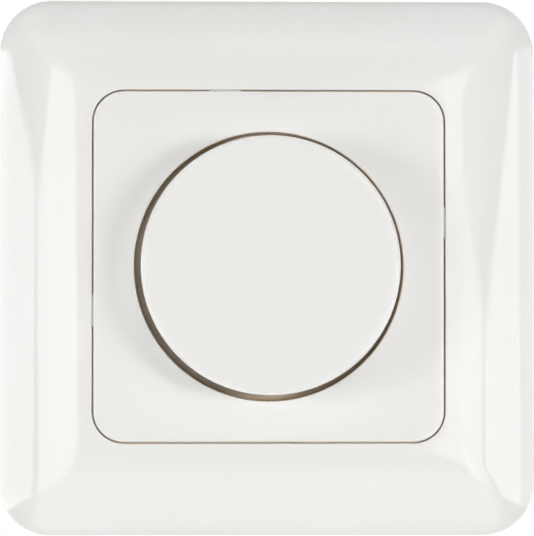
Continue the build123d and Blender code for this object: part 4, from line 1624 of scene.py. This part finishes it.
@dataclass(frozen=True)
class Lamp:
    """Soft rectangular studio lamp or bright reflector card.

    Attributes:
        name: Name of the lamp.
        role: Whether it lights the object or mirrors in it.
        angle: Degrees to the right of the view axis at which its face looks back.
        climb: Degrees above the view axis at which its face looks back.
        distance: Distance of its plane from the object in metres.
        width: Width in metres.
        height: Height in metres.
        radiance: Brightness of its face, white being 1.
        across: Shift to the right in its own plane in metres.
        up: Shift upwards in its own plane in metres.
        roll: Turn in its own plane in degrees.
    """

    name: str
    role: LampRole
    angle: float
    climb: float
    distance: float
    width: float
    height: float
    radiance: float
    across: float = 0.0
    up: float = 0.0
    roll: float = 0.0

    def build(self) -> None:
        """Adds the lamp, with its face towards the object."""
        turn = math.radians(self.angle)
        climb = math.radians(self.climb)
        flat = math.cos(climb)
        outward = Vector((flat * math.sin(turn), -flat * math.cos(turn), math.sin(climb)))
        facing = (-outward).to_track_quat("-Z", "Y")
        roll = Quaternion((0.0, 0.0, 1.0), math.radians(self.roll))
        place = outward * self.distance + facing @ Vector((self.across, self.up, 0.0))
        deselect_all()
        bpy.ops.object.light_add(type="AREA", location=place)
        lamp = bpy.context.object
        lamp.name = self.name
        lamp.rotation_euler = (facing @ roll).to_euler()
        lamp.data.shape = "RECTANGLE"
        lamp.data.size = self.width
        lamp.data.size_y = self.height
        lamp.data.energy = self.radiance * math.pi * self.width * self.height
        lamp.visible_camera = False
        lamp.visible_diffuse = self.role is LampRole.FILL
        lamp.visible_glossy = self.role is LampRole.CARD


@dataclass
class Studio:
    """Pale floor, soft lamps, white surroundings and the camera."""

    camera_place: tuple[float, float, float] = (-0.017, -0.54, -0.0132)
    camera_aim: tuple[float, float, float] = (0.0, 0.0, 0.0)
    sensor: float = 36.0
    view_width: float = 0.08517
    nearest: float = 0.01
    floor_level: float = -0.4
    floor_radius: float = 1.4
    floor_sides: int = 96
    floor_tone: Colour = (0.82, 0.82, 0.815)
    floor_roughness: float = 0.9
    floor_glow: float = 0.5
    fade_range: Extent = (0.3, 0.9)
    paper_scale: float = 900.0
    paper_detail: float = 2.0
    paper_shade: float = 0.97
    surround: float = 0.055
    # Each lamp's angle, climb, distance, width, height and radiance, then across, up and roll.
    lamps: tuple[Lamp, ...] = (
        Lamp("front_fill", LampRole.FILL, -1.0, -1.0, 0.9, 0.15, 0.15, 8.0),
        Lamp("left_front_fill", LampRole.FILL, -30.0, 0.0, 0.6, 0.1, 0.1, 7.0),
        Lamp("right_front_fill", LampRole.FILL, 30.0, 0.0, 0.6, 0.1, 0.1, 19.5),
        Lamp("upper_front_fill", LampRole.FILL, 5.0, 24.0, 0.6, 0.1, 0.1, 7.5),
        Lamp("left_fill", LampRole.FILL, -49.0, 0.0, 0.6, 0.12, 0.15, 13.0),
        Lamp("right_fill", LampRole.FILL, 42.0, 0.0, 0.6, 0.12, 0.15, 9.4),
        Lamp("left_grazing_fill", LampRole.FILL, -80.0, 0.0, 0.6, 0.2, 0.3, 3.8),
        Lamp("right_grazing_fill", LampRole.FILL, 78.0, 0.0, 0.6, 0.2, 0.3, 3.1),
        Lamp("low_fill", LampRole.FILL, 0.0, -75.0, 0.33, 0.6, 0.5, 0.27),
        Lamp("high_fill", LampRole.FILL, 0.0, 70.0, 0.5, 0.6, 0.4, 1.15),
        Lamp("left_rear_fill", LampRole.FILL, -145.0, 20.0, 0.6, 0.5, 0.5, 2.7),
        Lamp("right_rear_fill", LampRole.FILL, 145.0, 20.0, 0.6, 0.5, 0.5, 2.7),
        Lamp("left_card", LampRole.CARD, -45.0, 0.0, 0.6, 0.406, 0.6, 2.4, 0.068, -0.19, 17.2),
        Lamp("far_left_card", LampRole.CARD, -87.0, 0.0, 0.6, 0.515, 0.6, 2.6, -0.078, -0.212, -8.1),
        Lamp("high_left_card", LampRole.CARD, -65.0, 0.0, 0.6, 1.3, 0.35, 0.6, 0.0, 0.275),
        Lamp("near_right_card", LampRole.CARD, 20.0, 0.0, 0.6, 0.25, 0.5, 1.9, -0.0085),
        Lamp("right_card", LampRole.CARD, 40.0, 0.0, 0.6, 0.206, 0.4, 2.3, -0.029, -0.1733, -12.9),
        Lamp("far_right_card", LampRole.CARD, 74.0, 0.0, 0.6, 0.455, 0.6, 2.7, 0.0612, -0.2393, 15.7),
        Lamp("rim_right_card", LampRole.CARD, 74.0, 0.0, 0.6, 0.335, 0.6, 1.1, 0.4415, -0.132, 15.7),
        Lamp("high_right_card", LampRole.CARD, 55.0, 0.0, 0.6, 1.2, 0.35, 0.1, 0.0, 0.275),
        Lamp("low_card", LampRole.CARD, 0.0, -72.0, 0.33, 0.44, 0.4, 0.5),
        Lamp("wide_low_card", LampRole.CARD, 0.0, -72.0, 0.34, 0.46, 0.53, 0.5),
        Lamp("high_card", LampRole.CARD, 0.0, 78.0, 0.5, 1.4, 0.6, 1.0),
    )

    def build(self) -> None:
        """Builds the whole studio."""
        for lamp in self.lamps:
            lamp.build()
            log.info("lamp %s at %.1f of white", lamp.name, lamp.radiance)
        self.floor()
        self.world()
        self.camera()
        bpy.context.scene.view_settings.view_transform = "Standard"

    def floor(self) -> None:
        """Adds the round floor, which fades into the white surroundings."""
        deselect_all()
        bpy.ops.mesh.primitive_circle_add(vertices=self.floor_sides, radius=self.floor_radius,
                                          fill_type="NGON", location=(0, 0, self.floor_level))
        floor = bpy.context.object
        floor.name = "studio_floor"
        settle(floor)
        material, graph, coords, shader = start_material("floor_card")
        flat = graph.add("ShaderNodeVectorMath", {0: coords, 1: (1.0, 1.0, 0.0)}, operation="MULTIPLY")
        away = graph.add("ShaderNodeVectorMath", {0: flat.outputs[0]}, operation="LENGTH")
        near, far = (self.floor_radius * share for share in self.fade_range)
        fade = graph.spread(away.outputs["Value"], (near, far), (self.floor_glow, 1.0))
        rays = graph.add("ShaderNodeLightPath").outputs
        mirrored = graph.calculate("MAXIMUM", rays["Is Glossy Ray"], rays["Is Transmission Ray"])
        faded = graph.calculate("MULTIPLY", fade, rays["Is Camera Ray"])
        share = graph.calculate("MAXIMUM", faded, mirrored)
        paper = graph.noise(coords, self.paper_scale, self.paper_detail)
        shaded = tuple(self.paper_shade * part for part in self.floor_tone)
        tone = graph.blend(paper, solid(self.floor_tone), solid(shaded))
        graph.feed(shader, {"Base Color": tone, "Roughness": self.floor_roughness})
        glow = graph.add("ShaderNodeEmission", {"Color": solid((1.0, 1.0, 1.0)), "Strength": 1.0})
        mixed = graph.add("ShaderNodeMixShader", {0: share, 1: shader.outputs[0], 2: glow.outputs[0]})
        output = next(n for n in graph.tree.nodes if n.bl_idname == "ShaderNodeOutputMaterial")
        graph.feed(output, {"Surface": mixed.outputs[0]})
        floor.data.materials.append(material)

    def world(self) -> None:
        """White where the camera, gloss or glass looks past the object, and dimmer as a light."""
        world = bpy.data.worlds.new("white_surroundings")
        world.use_nodes = True
        world.node_tree.nodes.clear()
        graph = Graph(world.node_tree)
        rays = graph.add("ShaderNodeLightPath").outputs
        seen = graph.calculate("MAXIMUM", rays["Is Camera Ray"], rays["Is Glossy Ray"])
        seen = graph.calculate("MAXIMUM", seen, rays["Is Transmission Ray"])
        strength = graph.spread(seen, WHOLE, (self.surround, 1.0))
        back = graph.add("ShaderNodeBackground", {"Color": solid((1.0, 1.0, 1.0)), "Strength": strength})
        graph.add("ShaderNodeOutputWorld", {"Surface": back.outputs[0]})
        bpy.context.scene.world = world

    def camera(self) -> None:
        """Adds the camera a little to the left of the object and below it."""
        deselect_all()
        place = Vector(self.camera_place)
        aim = Vector(self.camera_aim)
        bpy.ops.object.camera_add(location=place)
        camera = bpy.context.object
        camera.name = "front_camera"
        camera.rotation_euler = (aim - place).to_track_quat("-Z", "Y").to_euler()
        camera.data.sensor_fit = "HORIZONTAL"
        camera.data.sensor_width = self.sensor
        camera.data.lens = self.sensor * -place.y / self.view_width
        camera.data.clip_start = self.nearest
        bpy.context.scene.camera = camera


def write_sizes() -> None:
    """Updates the view layer."""
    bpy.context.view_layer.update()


def main() -> None:
    """Builds the pieces in order, dresses them and sets up the studio."""
    logging.basicConfig(level=logging.INFO, format="%(name)s: %(message)s")
    workshop = Workshop()
    workshop.paint_solids()
    for part in (CoverFrame(), CentrePlate(), Knob(), InsertMetalwork(), RearMouldings(), SwitchSpring()):
        part.dress(part.build(), workshop)
    Studio().build()
    write_sizes()


if __name__ == "__main__":
    main()
